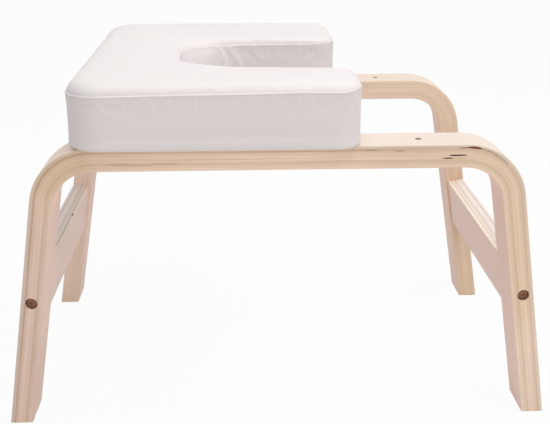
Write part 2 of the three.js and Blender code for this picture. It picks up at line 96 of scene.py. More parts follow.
# Each lamp's place, size and power: the main one overhead, and a weak one low in front.
LAMPS = {"soft_lamp": ((0.5, -0.3, 2.15), 2.4, 33.5), "front_lamp": ((0.3, -2.4, 0.8), 1.5, 6.9)}


def add_node(tree, kind, settings=None, inputs=None):
    """A node of that kind, with its settings, and each named input linked to a socket or set."""
    node = tree.nodes.new(kind)
    for name, value in (settings or {}).items():
        setattr(node, name, value)
    for name, value in (inputs or {}).items():
        if isinstance(value, bpy.types.NodeSocket):
            tree.links.new(value, node.inputs[name])
        else:
            node.inputs[name].default_value = value
    return node


def calculate(tree, operation, first, second=0, third=0):
    """The result of one Math node."""
    inputs = {0: first, 1: second, 2: third}
    return add_node(tree, "ShaderNodeMath", {"operation": operation}, inputs).outputs[0]


def product(tree, first, second):
    """The first value times the second."""
    return calculate(tree, "MULTIPLY", first, second)


def less(tree, first, second):
    """The first value less the second."""
    return calculate(tree, "SUBTRACT", first, second)


def times_plus(tree, value, factor, addend):
    """A value times a factor, and an addend on top."""
    return calculate(tree, "MULTIPLY_ADD", value, factor, addend)


def colour(values):
    """A colour socket's value: red, green and blue with full cover."""
    return (*values, 1)


def new_material(name):
    """An empty node material and its tree, with only the output left in it."""
    material = bpy.data.materials.new(name)
    material.use_nodes = True
    tree = material.node_tree
    tree.nodes.clear()
    return material, tree


def seen_ray(tree):
    """1 on a ray from the camera or from a glossy or clear surface, else 0."""
    path = add_node(tree, "ShaderNodeLightPath").outputs
    shiny = calculate(tree, "MAXIMUM", path["Is Glossy Ray"], path["Is Transmission Ray"])
    return calculate(tree, "MAXIMUM", path["Is Camera Ray"], shiny)


floor_mesh = bpy.data.meshes.new("floor")
floor_corners = [(-1, -1), (1, -1), (1, 1), (-1, 1)]
floor_mesh.from_pydata([(x * FLOOR_HALF, y * FLOOR_HALF, 0) for x, y in floor_corners], [], [(0, 1, 2, 3)])
floor = bpy.data.objects.new("floor", floor_mesh)
scene.collection.objects.link(floor)
floor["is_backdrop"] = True

floor_material, tree = new_material("pale_floor")
matt = add_node(tree, "ShaderNodeBsdfDiffuse", inputs={"Color": colour(FLOOR_COLOUR)})
glow = add_node(tree, "ShaderNodeEmission")
share = product(tree, seen_ray(tree), FLOOR_OWN_WHITE)
mixed = add_node(tree, "ShaderNodeMixShader", inputs={0: share, 1: matt.outputs[0], 2: glow.outputs[0]})
add_node(tree, "ShaderNodeOutputMaterial", inputs={"Surface": mixed.outputs[0]})
floor_mesh.materials.append(floor_material)

world = bpy.data.worlds.new("white_sky")
scene.world = world
world.use_nodes = True
tree = world.node_tree
tree.nodes.clear()
sky_strength = times_plus(tree, seen_ray(tree), SKY_SEEN - SKY_LIGHT, SKY_LIGHT)
sky = add_node(tree, "ShaderNodeBackground", inputs={"Color": colour((1, 1, 1)), "Strength": sky_strength})
add_node(tree, "ShaderNodeOutputWorld", inputs={"Surface": sky.outputs[0]})

for name, (place, size, watts) in LAMPS.items():
    lamp_data = bpy.data.lights.new(name, "AREA")
    lamp_data.shape = "DISK"
    lamp_data.size = size
    lamp_data.energy = watts
    lamp = bpy.data.objects.new(name, lamp_data)
    lamp.location = place
    lamp.rotation_euler = (Vector(LAMP_TARGET) - Vector(place)).to_track_quat("-Z", "Y").to_euler()
    scene.collection.objects.link(lamp)

# Side frames.
# Each is a stack of birch veneers, glued and pressed over a mould into an upside-down U and sawn
# flat at its feet. The sawn sides show the glue lines, and the faces show the grain of one veneer.
# Each leg is drilled for its rail bolt, sunk in a recess, and for two pins, the top for the seat.
STRIP_THICKNESS = 0.025
BEND_RADIUS = 0.068
LEG_SPLAY = math.radians(10.5)
FOOT_HALF_SPAN = 0.310
STRIP_ARRIS = 0.0013
FOOT_ARRIS = 0.0015
FLAT_SUPPORT = 0.0004
ARRIS_POINTS = 5
FOOT_RINGS = 4
BEND_RINGS = 57
BOLT_HOLE_RADIUS = 0.0033
RECESS_RADIUS = 0.0063
RECESS_FLOOR = 0.0075
PIN_HOLE_RADIUS = 0.0043
PIN_HALF_LENGTH = 0.015
PIN_HOLE_DEPTH = PIN_HALF_LENGTH + 0.0003
PIN_SPACING = 0.036
SEAT_HOLE_ALONG = 0.14602
HOLE_FLARE = 0.0005
PAST_FACE = 0.002
PLIES = 15
SMOOTH_ANGLE = math.radians(32)
MERGE_DISTANCE = 1e-7

frame_front_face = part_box("front_frame")[0][1]
frame_front_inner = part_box("front_frame")[1][1]
frame_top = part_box("front_frame")[1][2]
strip_width = frame_front_inner - frame_front_face
strip_mid = (frame_front_inner + frame_front_face) / 2
lean_cos, lean_sin = math.cos(LEG_SPLAY), math.sin(LEG_SPLAY)
shoulder = FOOT_HALF_SPAN - frame_top * math.tan(LEG_SPLAY)
bend_x = shoulder - BEND_RADIUS * math.tan((math.pi / 2 - LEG_SPLAY) / 2)
bend_z = frame_top - BEND_RADIUS


def grid_faces(rows, columns, closed=True):
    """Four-sided faces between neighbouring rows of a grid of points, numbered row by row. A closed
    grid joins each row's last point to its first."""
    ways_on = columns if closed else columns - 1
    row, column = np.meshgrid(np.arange(rows - 1), np.arange(ways_on), indexing="ij")
    here = row * columns + column
    beside = row * columns + (column + 1) % columns
    return np.stack([here, beside, beside + columns, here + columns], -1).reshape(-1, 4)


def new_mesh(name, points, faces):
    """A mesh from points and faces, with its doubles merged, its poles closed and its faces turned
    outwards, smooth apart from its sharp edges."""
    mesh = bpy.data.meshes.new(name)
    mesh.from_pydata(np.asarray(points).reshape(-1, 3).tolist(), [], [list(face) for face in faces])
    work = bmesh.new()
    work.from_mesh(mesh)
    bmesh.ops.remove_doubles(work, verts=work.verts, dist=MERGE_DISTANCE)
    bmesh.ops.dissolve_degenerate(work, edges=work.edges, dist=MERGE_DISTANCE / 10)
    bmesh.ops.recalc_face_normals(work, faces=work.faces)
    work.to_mesh(mesh)
    work.free()
    mesh.shade_smooth()
    mesh.set_sharp_from_angle(angle=SMOOTH_ANGLE)
    return mesh


def capped_faces(rows, columns):
    """The faces of a stack of rings, with one face that closes it at each end."""
    last = (rows - 1) * columns
    return grid_faces(rows, columns).tolist() + [list(range(columns)), list(range(last, last + columns))]


def add_piece(name, mesh, material, slot, *nodes):
    """The finished piece at the origin: it rides on the stool and stands for the CAD nodes."""
    piece = bpy.data.objects.new(name, mesh)
    scene.collection.objects.link(piece)
    mesh.materials.clear()
    mesh.materials.append(material)
    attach(piece, "root")
    if nodes:
        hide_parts(*nodes)
    return piece


def rounded_section(thick, wide, arris):
    """A rectangle about the origin whose corners are quarter circles. A support point lies beside
    each end of a quarter, so that the flats shade flat."""
    angle = np.linspace(0, math.pi / 2, ARRIS_POINTS)
    parts = []
    for turn, side_a, side_b in [(0, 1, 1), (1, -1, 1), (2, -1, -1), (3, 1, -1)]:
        centre = np.array([side_a * (thick / 2 - arris), side_b * (wide / 2 - arris)])
        start = turn * math.pi / 2
        arc = centre + arris * np.stack([np.cos(angle + start), np.sin(angle + start)], -1)
        first = arc[0] + FLAT_SUPPORT * np.array([math.sin(start), -math.cos(start)])
        last = arc[-1] + FLAT_SUPPORT * np.array([-math.cos(start), -math.sin(start)])
        parts.append(np.vstack([first, arc, last]))
    return np.vstack(parts)


def strip_rings(section):
    """The strip's rings from the right foot over the top to the left foot. A section point stays on
    its own fibre: a straight line up the leg, then an arc about the middle of the bend."""
    turn = np.linspace(math.pi / 2, 0, FOOT_RINGS)[:, None]
    drawn = FOOT_ARRIS * (1 - np.cos(turn))
    height = FOOT_ARRIS * (1 - np.sin(turn))
    across = section[:, 0] * (1 - drawn / (STRIP_THICKNESS / 2))
    wide = section[:, 1] * (1 - drawn / (strip_width / 2))
    x = FOOT_HALF_SPAN - (STRIP_THICKNESS / 2 - across) / lean_cos - height * math.tan(LEG_SPLAY)
    feet = np.stack([x, wide, np.broadcast_to(height, x.shape)], -1)
    angle = np.linspace(LEG_SPLAY, math.pi / 2, BEND_RINGS)[:, None]
    radius = BEND_RADIUS - STRIP_THICKNESS / 2 + section[:, 0]
    x = bend_x + radius * np.cos(angle)
    bends = np.stack([x, np.broadcast_to(section[:, 1], x.shape), bend_z + radius * np.sin(angle)], -1)
    half = np.concatenate([feet, bends])
    return np.concatenate([half, half[::-1] * np.array([-1, 1, 1])])


def turned(radius, distance, place, axis, steps=48):
    """A profile carried round an axis: each ring lies at its distance along the axis from the place,
    and has its radius, which may differ round the ring. A ring of no radius closes an end."""
    axis = np.array(axis) / np.linalg.norm(axis)
    side = np.cross(axis, (0, 0, 1) if abs(axis[2]) < 0.9 else (1, 0, 0))
    side /= np.linalg.norm(side)
    angle = np.linspace(0, math.tau, steps, endpoint=False)[:, None]
    circle = np.cos(angle) * side + np.sin(angle) * np.cross(axis, side)
    radius = np.broadcast_to(np.asarray(radius, float).reshape(len(distance), -1), (len(distance), steps))
    along = np.asarray(distance, float)[:, None, None] * axis
    return np.asarray(place) + along + radius[:, :, None] * circle


def bore(place, axis, steps):
    """The tool that drills a hole along the axis: steps are (radius, start, end), its ends run past
    the faces, and its mouth is eased where it opens."""
    radius, distance = [0], [steps[0][1] - PAST_FACE]
    radius += [steps[0][0] + HOLE_FLARE + PAST_FACE, steps[0][0]]
    distance += [steps[0][1] - PAST_FACE, steps[0][1] + HOLE_FLARE]
    for size, start, end in steps:
        radius += [size, size]
        distance += [max(start, distance[-1]), end]
    radius.append(0)
    distance.append(steps[-1][2])
    return turned(radius, distance, place, axis)


def carve(piece, tools):
    """Cuts closed tools, which don't touch each other, out of the piece."""
    faces, points, count = [], [], 0
    for tool in tools:
        faces.append(grid_faces(*tool.shape[:2]) + count)
        points.append(tool.reshape(-1, 3))
        count += len(points[-1])
    cutter = bpy.data.objects.new("cutter", new_mesh("cutter", np.vstack(points), np.vstack(faces)))
    scene.collection.objects.link(cutter)
    holes = piece.modifiers.new("holes", "BOOLEAN")
    holes.operation = "DIFFERENCE"
    holes.solver = "EXACT"
    holes.object = cutter
    bpy.context.view_layer.update()
    cut = bpy.data.meshes.new_from_object(piece.evaluated_get(bpy.context.evaluated_depsgraph_get()))
    piece.modifiers.clear()
    materials = list(piece.data.materials)
    piece.data = cut
    cut.name = piece.name
    cut.materials.clear()
    for material in materials:
        cut.materials.append(material)
    cut.polygons.foreach_set("material_index", np.zeros(len(cut.polygons), np.int32))
    cut.shade_smooth()
    cut.set_sharp_from_angle(angle=SMOOTH_ANGLE)
    bpy.data.objects.remove(cutter)


def mark_fibres(mesh, places):
    """A UV map of the wood: how far along the fibres and how deep under the outer face each face
    corner lies. places turns points into these two lengths."""
    points = np.empty(len(mesh.vertices) * 3)
    mesh.vertices.foreach_get("co", points)
    corners = np.empty(len(mesh.loops), np.int32)
    mesh.loops.foreach_get("vertex_index", corners)
    along, depth = places(points.reshape(-1, 3))
    layer = mesh.uv_layers.new(name="fibres")
    layer.data.foreach_set("uv", np.stack([along, depth], -1)[corners].ravel())


def strip_places(points):
    """Along the strip from the middle of its top, round the bend at half thickness and down the leg,
    and depth under the outer face: a drop, a radius or a distance square to the leg."""
    x, z = np.abs(points[:, 0]) - bend_x, points[:, 2] - bend_z
    angle = np.arctan2(z, x)
    mid_radius = BEND_RADIUS - STRIP_THICKNESS / 2
    whole_bend = mid_radius * (math.pi / 2 - LEG_SPLAY)
    on_leg = (x > 0) & (angle < LEG_SPLAY)
    depth = np.where(on_leg, BEND_RADIUS - x * lean_cos - z * lean_sin, BEND_RADIUS - np.hypot(x, z))
    depth = np.where(x < 0, BEND_RADIUS - z, depth)
    past = np.where(on_leg, whole_bend + x * lean_sin - z * lean_cos, mid_radius * (math.pi / 2 - angle))
    past = np.where(x < 0, x, past)
    return np.sign(points[:, 0]) * (bend_x + past), depth


def own_place(tree):
    """Where a point of the surface lies on its object, in metres."""
    return add_node(tree, "ShaderNodeTexCoord").outputs["Object"]


def parts_of(tree, vector):
    """The X, Y and Z of a vector."""
    return add_node(tree, "ShaderNodeSeparateXYZ", inputs={0: vector}).outputs


def new_group(name, inputs, outputs):
    """An empty node group with its sockets: (name, kind) pairs, where kind is Float, Vector or Color."""
    group = bpy.data.node_groups.new(name, "ShaderNodeTree")
    for socket, kind in inputs:
        group.interface.new_socket(socket, in_out="INPUT", socket_type=f"NodeSocket{kind}")
    for socket, kind in outputs:
        group.interface.new_socket(socket, in_out="OUTPUT", socket_type=f"NodeSocket{kind}")
    return group, group.nodes.new("NodeGroupInput").outputs, group.nodes.new("NodeGroupOutput")


def place_group(tree, group, inputs):
    """The outputs of the group placed in a tree with these inputs."""
    return add_node(tree, "ShaderNodeGroup", {"node_tree": group}, inputs).outputs


def noise_at(tree, vector, scale, detail=2):
    """Noise from 0 to 1 on a vector stretched by its own scale along each axis."""
    stretched = add_node(tree, "ShaderNodeVectorMath", {"operation": "MULTIPLY"}, {0: vector, 1: scale})
    inputs = {"Vector": stretched.outputs[0], "Scale": 1, "Detail": detail, "Roughness": 0.6}
    return add_node(tree, "ShaderNodeTexNoise", inputs=inputs).outputs["Fac"]


def ramp_between(tree, value, low, high):
    """0 below low and 1 above high, with a smooth rise between them."""
    settings = {"interpolation_type": "SMOOTHSTEP", "clamp": True}
    inputs = {"Value": value, "From Min": low, "From Max": high, "To Min": 0, "To Max": 1}
    return add_node(tree, "ShaderNodeMapRange", settings, inputs).outputs["Result"]


def scaled_colour(tree, value, amount):
    """A colour times a number."""
    settings, inputs = {"operation": "SCALE"}, {0: value, "Scale": amount}
    return add_node(tree, "ShaderNodeVectorMath", settings, inputs).outputs[0]


def mixed_colour(tree, share, first, second):
    """The first colour, and the second where the share is 1."""
    node = add_node(tree, "ShaderNodeMix", {"data_type": "RGBA"})
    for socket, value in ((node.inputs[0], share), (node.inputs[6], first), (node.inputs[7], second)):
        if isinstance(value, bpy.types.NodeSocket):
            tree.links.new(value, socket)
        else:
            socket.default_value = value
    return node.outputs[2]


# Wood grain on a vector of along, across and depth in metres: broad streaks, fine fibres and pores.
BROAD_STREAK = (5, 140, 140)
FINE_FIBRE = (22, 900, 900)
PORE_STREAK = (130, 2400, 2400)
BROAD_SHARE = 0.62
PORE_START = (0.66, 0.8)
wood_grain, given, result = new_group(
    "wood_grain", [("Fibres", "Vector")], [("Streaks", "Float"), ("Pores", "Float")]
)
broad = noise_at(wood_grain, given["Fibres"], BROAD_STREAK, 3)
fine = noise_at(wood_grain, given["Fibres"], FINE_FIBRE, 2)
both = times_plus(wood_grain, broad, BROAD_SHARE, product(wood_grain, fine, 1 - BROAD_SHARE))
wood_grain.links.new(both, result.inputs["Streaks"])
pores = ramp_between(wood_grain, noise_at(wood_grain, given["Fibres"], PORE_STREAK, 1), *PORE_START)
wood_grain.links.new(pores, result.inputs["Pores"])

# Glued plies: a tone for each ply and a mask on the thin glue lines between them. The lines waver.
PLY_WAVER = 0.0013
GLUE_SHARE = 0.11
plies, given, result = new_group(
    "plies",
    [("Fibres", "Vector"), ("Ply", "Float")],
    [("Depth", "Float"), ("Tone", "Float"), ("Glue", "Float")],
)
waver = less(plies, noise_at(plies, given["Fibres"], (11, 0, 50), 2), 0.5)
parts = parts_of(plies, given["Fibres"])
depth = times_plus(plies, waver, PLY_WAVER, parts["Z"])
in_plies = calculate(plies, "DIVIDE", depth, given["Ply"])
which_ply = calculate(plies, "FLOOR", in_plies)
tone = add_node(plies, "ShaderNodeTexWhiteNoise", {"noise_dimensions": "1D"}, {"W": which_ply})
to_line = calculate(plies, "PINGPONG", in_plies, 0.5)
glue = less(plies, 1, ramp_between(plies, to_line, 0, GLUE_SHARE))
for value, name in ((depth, "Depth"), (tone.outputs["Value"], "Tone"), (glue, "Glue")):
    plies.links.new(value, result.inputs[name])

# A fleck in the wood: an ellipse along the fibres about a place, with a ragged and soft edge.
FLECK_SIZES = ("Along", "Depth", "Half Length", "Half Height")
FLECK_RAGGED = 1.1
FLECK_EDGE = (0.35, 1.3)
fleck, given, result = new_group(
    "fleck", [("Fibres", "Vector")] + [(size, "Float") for size in FLECK_SIZES], [("Mask", "Float")]
)
parts = parts_of(fleck, given["Fibres"])
ragged = less(fleck, noise_at(fleck, given["Fibres"], (260, 260, 900), 2), 0.5)
along = calculate(fleck, "DIVIDE", less(fleck, parts["X"], given["Along"]), given["Half Length"])
down = calculate(fleck, "DIVIDE", less(fleck, parts["Z"], given["Depth"]), given["Half Height"])
squares = calculate(fleck, "ADD", product(fleck, along, along), product(fleck, down, down))
reach = times_plus(fleck, ragged, FLECK_RAGGED, squares)
mask = less(fleck, 1, ramp_between(fleck, reach, *FLECK_EDGE))
fleck.links.new(mask, result.inputs["Mask"])

# The colours of the outer and the inner face, how thick they lie, and over what depth they change. The
# outer face has the veneer's colour; the inner face's lighter, redder colour is painted light, the warm
# light in its shade.
VENEER_AND_PAINTED_INNER_LIGHT = ((0.785, 0.66, 0.58), (0.92, 0.67, 0.56))
FACE_SKIN = 0.0002
FACE_CHANGE = 0.001
# The painted shade in the holes sets in from the first to the second height, so that the sawn feet stay
# pale.
BORE_LEVELS = (0.002, 0.004)
# How the bands fade in and out: a noise along, across and through the wood, its factor and addend.
BAND_FADING = (9, 0, 90)
BAND_STRENGTH = (1.5, 0.2)
# How far tones, glue lines, streaks and pores change the light of the wood.
PLY_LIGHT = 0.13
GLUE_LIGHT = -0.14
EDGE_STREAKS = 0.55
FACE_STREAKS = 0.22
PORE_LIGHT = -0.1
# A tint's ends are this soft, as a share of its half length.
TINT_SOFTNESS = 0.4
# Painted shade covers bored walls that lie a little inside the wood's skin on one way and deep inside it on
# the other.
BORE_START = (0.0001, 0.0003)
BORE_DEEP = (0.002, 0.003)
# Colours of the sawn edges, by the share of the depth under the outer face.
EDGE_BANDS = [
    (0.00, (0.80, 0.66, 0.53)),
    (0.12, (0.80, 0.64, 0.49)),
    (0.17, (0.64, 0.43, 0.29)),
    (0.22, (0.60, 0.39, 0.26)),
    (0.27, (0.84, 0.64, 0.49)),
    (0.45, (0.85, 0.64, 0.46)),
    (0.50, (0.81, 0.60, 0.43)),
    (0.55, (0.86, 0.65, 0.48)),
    (0.62, (0.84, 0.63, 0.46)),
    (0.68, (0.74, 0.53, 0.35)),
    (0.73, (0.77, 0.56, 0.38)),
    (0.79, (0.87, 0.67, 0.50)),
    (1.00, (0.86, 0.64, 0.49)),
]
# Painted shade inside the holes.
HOLE_PAINTED_SHADE = (0.46, 0.27, 0.175)
BLACK_FLECK = (0.016, 0.006, 0.004)
BROWN_FLECK = (0.14, 0.05, 0.022)
RED_FLECK = (0.19, 0.04, 0.016)
EDGE_LIGHT = (0.83, 0.63, 0.47)
OCHRE_BAND = (0.54, 0.34, 0.19)
# Paler and darker stretches of the frames' edges, some of them painted light or shade: middle along, half
# length and what they multiply.
FRONT_TONES_AND_PAINTED_LIGHT = [
    # Painted light: paler on the front bar under the cushion, against the cushion's shadow.
    (-0.050, 0.130, (1.15, 1.17, 1.20)),
    (0.500, 0.080, (1.08, 1.13, 1.20)),
    (-0.420, 0.140, (0.94, 0.935, 1.03)),
    # Painted shade: darker at the left bend, in the gap under the cushion's corner.
    (-0.228, 0.030, (0.93, 0.90, 0.85)),
]
# The front faces' first stretch is painted light: paler on the left bend, where the cushion shades its top.
FRONT_FACE_TONES_AND_PAINTED_LIGHT = [(-0.232, 0.034, (1.17, 1.12, 1.06)), (-0.505, 0.060, (0.90, 0.86, 0.82))]
REAR_TONES_AND_PAINTED_LIGHT = [
    (0.050, 0.180, (1.06, 1.08, 1.13)),
    # Painted light: paler on the rear frame's left leg, against the shade that falls on it.
    (-0.420, 0.140, (1.20, 1.22, 1.36)),
    (0.360, 0.080, (0.98, 0.94, 0.91)),
]
# How strong the rear frame's bands, plies and glue lines are beside the front's.
REAR_CONTRAST = 0.22
REAR_FACE_TINTS = [(0.050, 0.300, (1.0, 0.98, 0.93))]
# Flecks of the front frame: along, depth, half length, half height, colour and cover. They show from
# the first to the second depth under its front side.
FLECK_SKIN = (0.004, 0.001)
FRONT_FLECKS = [
    (0.3100, 0.0048, 0.2600, 0.0016, EDGE_LIGHT, 0.5),
    (0.1838, 0.0113, 0.0100, 0.0008, BLACK_FLECK, 2.2),
    (0.1735, 0.0143, 0.0058, 0.0008, BROWN_FLECK, 1.2),
    (0.1850, 0.0145, 0.0090, 0.0005, BROWN_FLECK, 0.4),
    (0.1930, 0.0034, 0.0100, 0.0007, RED_FLECK, 0.8),
    (0.1995, 0.0030, 0.0070, 0.0014, RED_FLECK, 1.1),
    (0.2120, 0.0033, 0.0110, 0.0010, RED_FLECK, 0.4),
    (0.2270, 0.0043, 0.0100, 0.0012, BROWN_FLECK, 0.28),
    (0.1230, 0.0062, 0.0062, 0.0009, BROWN_FLECK, 0.35),
    (0.0960, 0.0052, 0.0090, 0.0008, BROWN_FLECK, 0.35),
    (0.0860, 0.0047, 0.0130, 0.0006, BROWN_FLECK, 0.3),
    (0.1150, 0.0108, 0.0700, 0.0005, BROWN_FLECK, 0.22),
    (0.0900, 0.0158, 0.0800, 0.0006, BROWN_FLECK, 0.16),
    (-0.0800, 0.0132, 0.0600, 0.0005, BROWN_FLECK, 0.18),
    (-0.1620, 0.0172, 0.0180, 0.0017, OCHRE_BAND, 0.36),
    (-0.1400, 0.0180, 0.0120, 0.0014, OCHRE_BAND, 0.34),
    (-0.1180, 0.0170, 0.0170, 0.0017, OCHRE_BAND, 0.30),
]


def tinted(tree, value, along, tints):
    """The colour times each tint about its place along the wood, with soft ends."""
    for middle, half, tint in tints:
        off = calculate(tree, "ABSOLUTE", less(tree, along, middle))
        away = ramp_between(tree, off, half * (1 - TINT_SOFTNESS), half * (1 + TINT_SOFTNESS))
        inputs = {0: value, 1: mixed_colour(tree, away, colour(tint), colour((1, 1, 1)))}
        value = add_node(tree, "ShaderNodeVectorMath", {"operation": "MULTIPLY"}, inputs).outputs[0]
    return value


def laminated_wood(name, thick, ply_count, bands, contrast, faces, across_axis, tints, flecks, fleck_zone,
                   face_tints=(), bored=None):
    """Wood glued up from plies. Its sawn edges take a band colour by depth, a tone for each ply, glue lines
    and streaks, and its outer and inner faces the colour given for each, with its grain; the inner face's
    colour is painted light. Tints, some of them painted light or shade, change edges or faces about a place
    along it, and flecks show past the fleck zone on the across axis. Bored wood, whose middle and half
    width across are given, gets painted shade inside its holes."""
    material, tree = new_material(name)
    fibres = add_node(tree, "ShaderNodeUVMap", {"uv_map": "fibres"}).outputs[0]
    flat = parts_of(tree, fibres)
    here = own_place(tree)
    across = parts_of(tree, here)[across_axis]
    inputs = {0: flat["X"], 1: across, 2: flat["Y"]}
    vector = add_node(tree, "ShaderNodeCombineXYZ", inputs=inputs).outputs[0]
    grain = place_group(tree, wood_grain, {"Fibres": vector})
    layers = place_group(tree, plies, {"Fibres": vector, "Ply": thick / ply_count})
    share = calculate(tree, "DIVIDE", layers["Depth"], thick)
    ramp = add_node(tree, "ShaderNodeValToRGB", inputs={0: share})
    ramp.color_ramp.elements.remove(ramp.color_ramp.elements[1])
    ramp.color_ramp.elements[0].position = bands[0][0]
    ramp.color_ramp.elements[0].color = colour(bands[0][1])
    for position, value in bands[1:]:
        ramp.color_ramp.elements.new(position).color = colour(value)
    plain = colour(np.mean([value for _, value in bands], axis=0))
    fading = noise_at(tree, vector, BAND_FADING, 2)
    factor, addend = BAND_STRENGTH
    shown = times_plus(tree, fading, contrast * factor, contrast * addend)
    edge = mixed_colour(tree, shown, plain, ramp.outputs[0])
    light = times_plus(tree, layers["Tone"], PLY_LIGHT * contrast, 1 - PLY_LIGHT / 2 * contrast)
    light = times_plus(tree, layers["Glue"], GLUE_LIGHT * contrast, light)
    streaks = less(tree, grain["Streaks"], 0.5)
    edge = scaled_colour(tree, edge, times_plus(tree, streaks, EDGE_STREAKS, light))
    edge = tinted(tree, edge, flat["X"], tints)
    outer = ramp_between(tree, flat["Y"], thick / 2 + FACE_CHANGE, thick / 2 - FACE_CHANGE)
    face = mixed_colour(tree, outer, colour(faces[1]), colour(faces[0]))
    face = scaled_colour(tree, face, times_plus(tree, streaks, FACE_STREAKS, 1))
    face = tinted(tree, face, flat["X"], face_tints)
    from_middle = calculate(tree, "ABSOLUTE", less(tree, flat["Y"], thick / 2))
    on_face = ramp_between(tree, from_middle, thick / 2 - FACE_SKIN * 2, thick / 2 - FACE_SKIN)
    base = mixed_colour(tree, on_face, edge, face)
    base = scaled_colour(tree, base, times_plus(tree, grain["Pores"], PORE_LIGHT, 1))
    for *sizes, tint, cover in flecks:
        inputs = {"Fibres": vector, **dict(zip(FLECK_SIZES, sizes))}
        mask = product(tree, place_group(tree, fleck, inputs)["Mask"], cover)
        mask = product(tree, mask, ramp_between(tree, across, *fleck_zone))
        base = mixed_colour(tree, mask, base, colour(tint))
    if bored:
        # Painted shade on the walls inside the holes, darker deep in the wood.
        middle, half = bored
        off_middle = calculate(tree, "ABSOLUTE", less(tree, calculate(tree, "ABSOLUTE", across), middle))
        from_edge = less(tree, half, off_middle)
        from_face = less(tree, thick / 2, from_middle)
        inside = ramp_between(tree, calculate(tree, "MINIMUM", from_edge, from_face), *BORE_START)
        deep = ramp_between(tree, calculate(tree, "MAXIMUM", from_edge, from_face), *BORE_DEEP)
        up = parts_of(tree, here)["Z"]
        mask = product(tree, product(tree, inside, deep), ramp_between(tree, up, *BORE_LEVELS))
        base = mixed_colour(tree, mask, base, colour(HOLE_PAINTED_SHADE))
    relief = times_plus(tree, grain["Pores"], -0.5, product(tree, grain["Streaks"], 0.6))
    relief = times_plus(tree, layers["Glue"], -0.4, relief)
    finish_wood(tree, base, relief, grain["Streaks"])
    return material


def finish_surface(tree, base, rough, relief, strength, height, others=None):
    """The last nodes of a material: its colour, its roughness and a bump from the relief, so strong
    and so high in metres, with the shader's other inputs."""
    inputs = {"Height": relief, "Strength": strength, "Distance": height}
    bump = add_node(tree, "ShaderNodeBump", inputs=inputs)
    inputs = {"Base Color": base, "Roughness": rough, "Normal": bump.outputs[0], **(others or {})}
    shader = add_node(tree, "ShaderNodeBsdfPrincipled", inputs=inputs)
    add_node(tree, "ShaderNodeOutputMaterial", inputs={"Surface": shader.outputs[0]})


def finish_wood(tree, base, relief, streaks):
    """The last nodes of a wood, with a thin satin lacquer over it."""
    lacquer = {"Coat Weight": 0.12, "Coat Roughness": 0.35}
    finish_surface(tree, base, times_plus(tree, streaks, 0.2, 0.42), relief, 0.35, 0.0003, lacquer)


rail_low, rail_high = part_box("open_end_rail")
rail_x, rail_z = (rail_low[0] + rail_high[0]) / 2, (rail_low[2] + rail_high[2]) / 2
across_strip = (abs(strip_mid), strip_width / 2)
fleck_zone = [frame_front_face + depth for depth in FLECK_SKIN]
frame_materials = {
    "front": laminated_wood(
        "bent_veneer_front", STRIP_THICKNESS, PLIES, EDGE_BANDS, 1, VENEER_AND_PAINTED_INNER_LIGHT, "Y",
        FRONT_TONES_AND_PAINTED_LIGHT, FRONT_FLECKS, fleck_zone, FRONT_FACE_TONES_AND_PAINTED_LIGHT, across_strip,
    ),
    "rear": laminated_wood(
        "bent_veneer_rear", STRIP_THICKNESS, PLIES, EDGE_BANDS, REAR_CONTRAST, VENEER_AND_PAINTED_INNER_LIGHT, "Y",
        REAR_TONES_AND_PAINTED_LIGHT, [], None, REAR_FACE_TINTS, across_strip,
    ),
}
section = rounded_section(STRIP_THICKNESS, strip_width, STRIP_ARRIS)
for frame_name, facing in (("front", -1), ("rear", 1)):
    rings = strip_rings(section) + np.array([0, -facing * strip_mid, 0])
    name = f"{frame_name}_bent_strip"
    mesh = new_mesh(name, rings, capped_faces(*rings.shape[:2]))
    strip = add_piece(name, mesh, frame_materials[frame_name], "bent_veneer", f"{frame_name}_frame")
    tools = []
    for side in (-1, 1):
        at = (side * rail_x, facing * -frame_front_face, rail_z)
        through = (BOLT_HOLE_RADIUS, RECESS_FLOOR, strip_width + PAST_FACE)
        tools.append(bore(at, (0, -facing, 0), [(RECESS_RADIUS, 0, RECESS_FLOOR), through]))
        for level in (-1, 1):
            up = level * PIN_SPACING / 2
            at = (side * (rail_x - up * lean_sin), facing * -frame_front_inner, rail_z + up * lean_cos)
            tools.append(bore(at, (0, facing, 0), [(PIN_HOLE_RADIUS, 0, PIN_HOLE_DEPTH)]))
    for x in (-SEAT_HOLE_ALONG, 0, SEAT_HOLE_ALONG):
        at = (x, -facing * strip_mid, frame_top)
        tools.append(bore(at, (0, 0, -1), [(BOLT_HOLE_RADIUS, 0, STRIP_THICKNESS + PAST_FACE)]))
    carve(strip, tools)
    mark_fibres(strip.data, strip_places)

# End rails.
# Each is a plywood board set between the two frames and leaning with the legs, with its long edges
# rounded over. It is drilled at each end for the bolt and two pins, and from outside for a nut.
RAIL_THICKNESS = 0.022
RAIL_DEPTH = 0.062
RAIL_ARRIS = 0.0015
RAIL_END_EASE = 0.0004
RAIL_PLIES = 9
NUT_HOLE_RADIUS = 0.0053
NUT_HOLE_DEPTH = 0.0173
NUT_INSET = 0.030
BOLT_BORE_DEPTH = 0.041

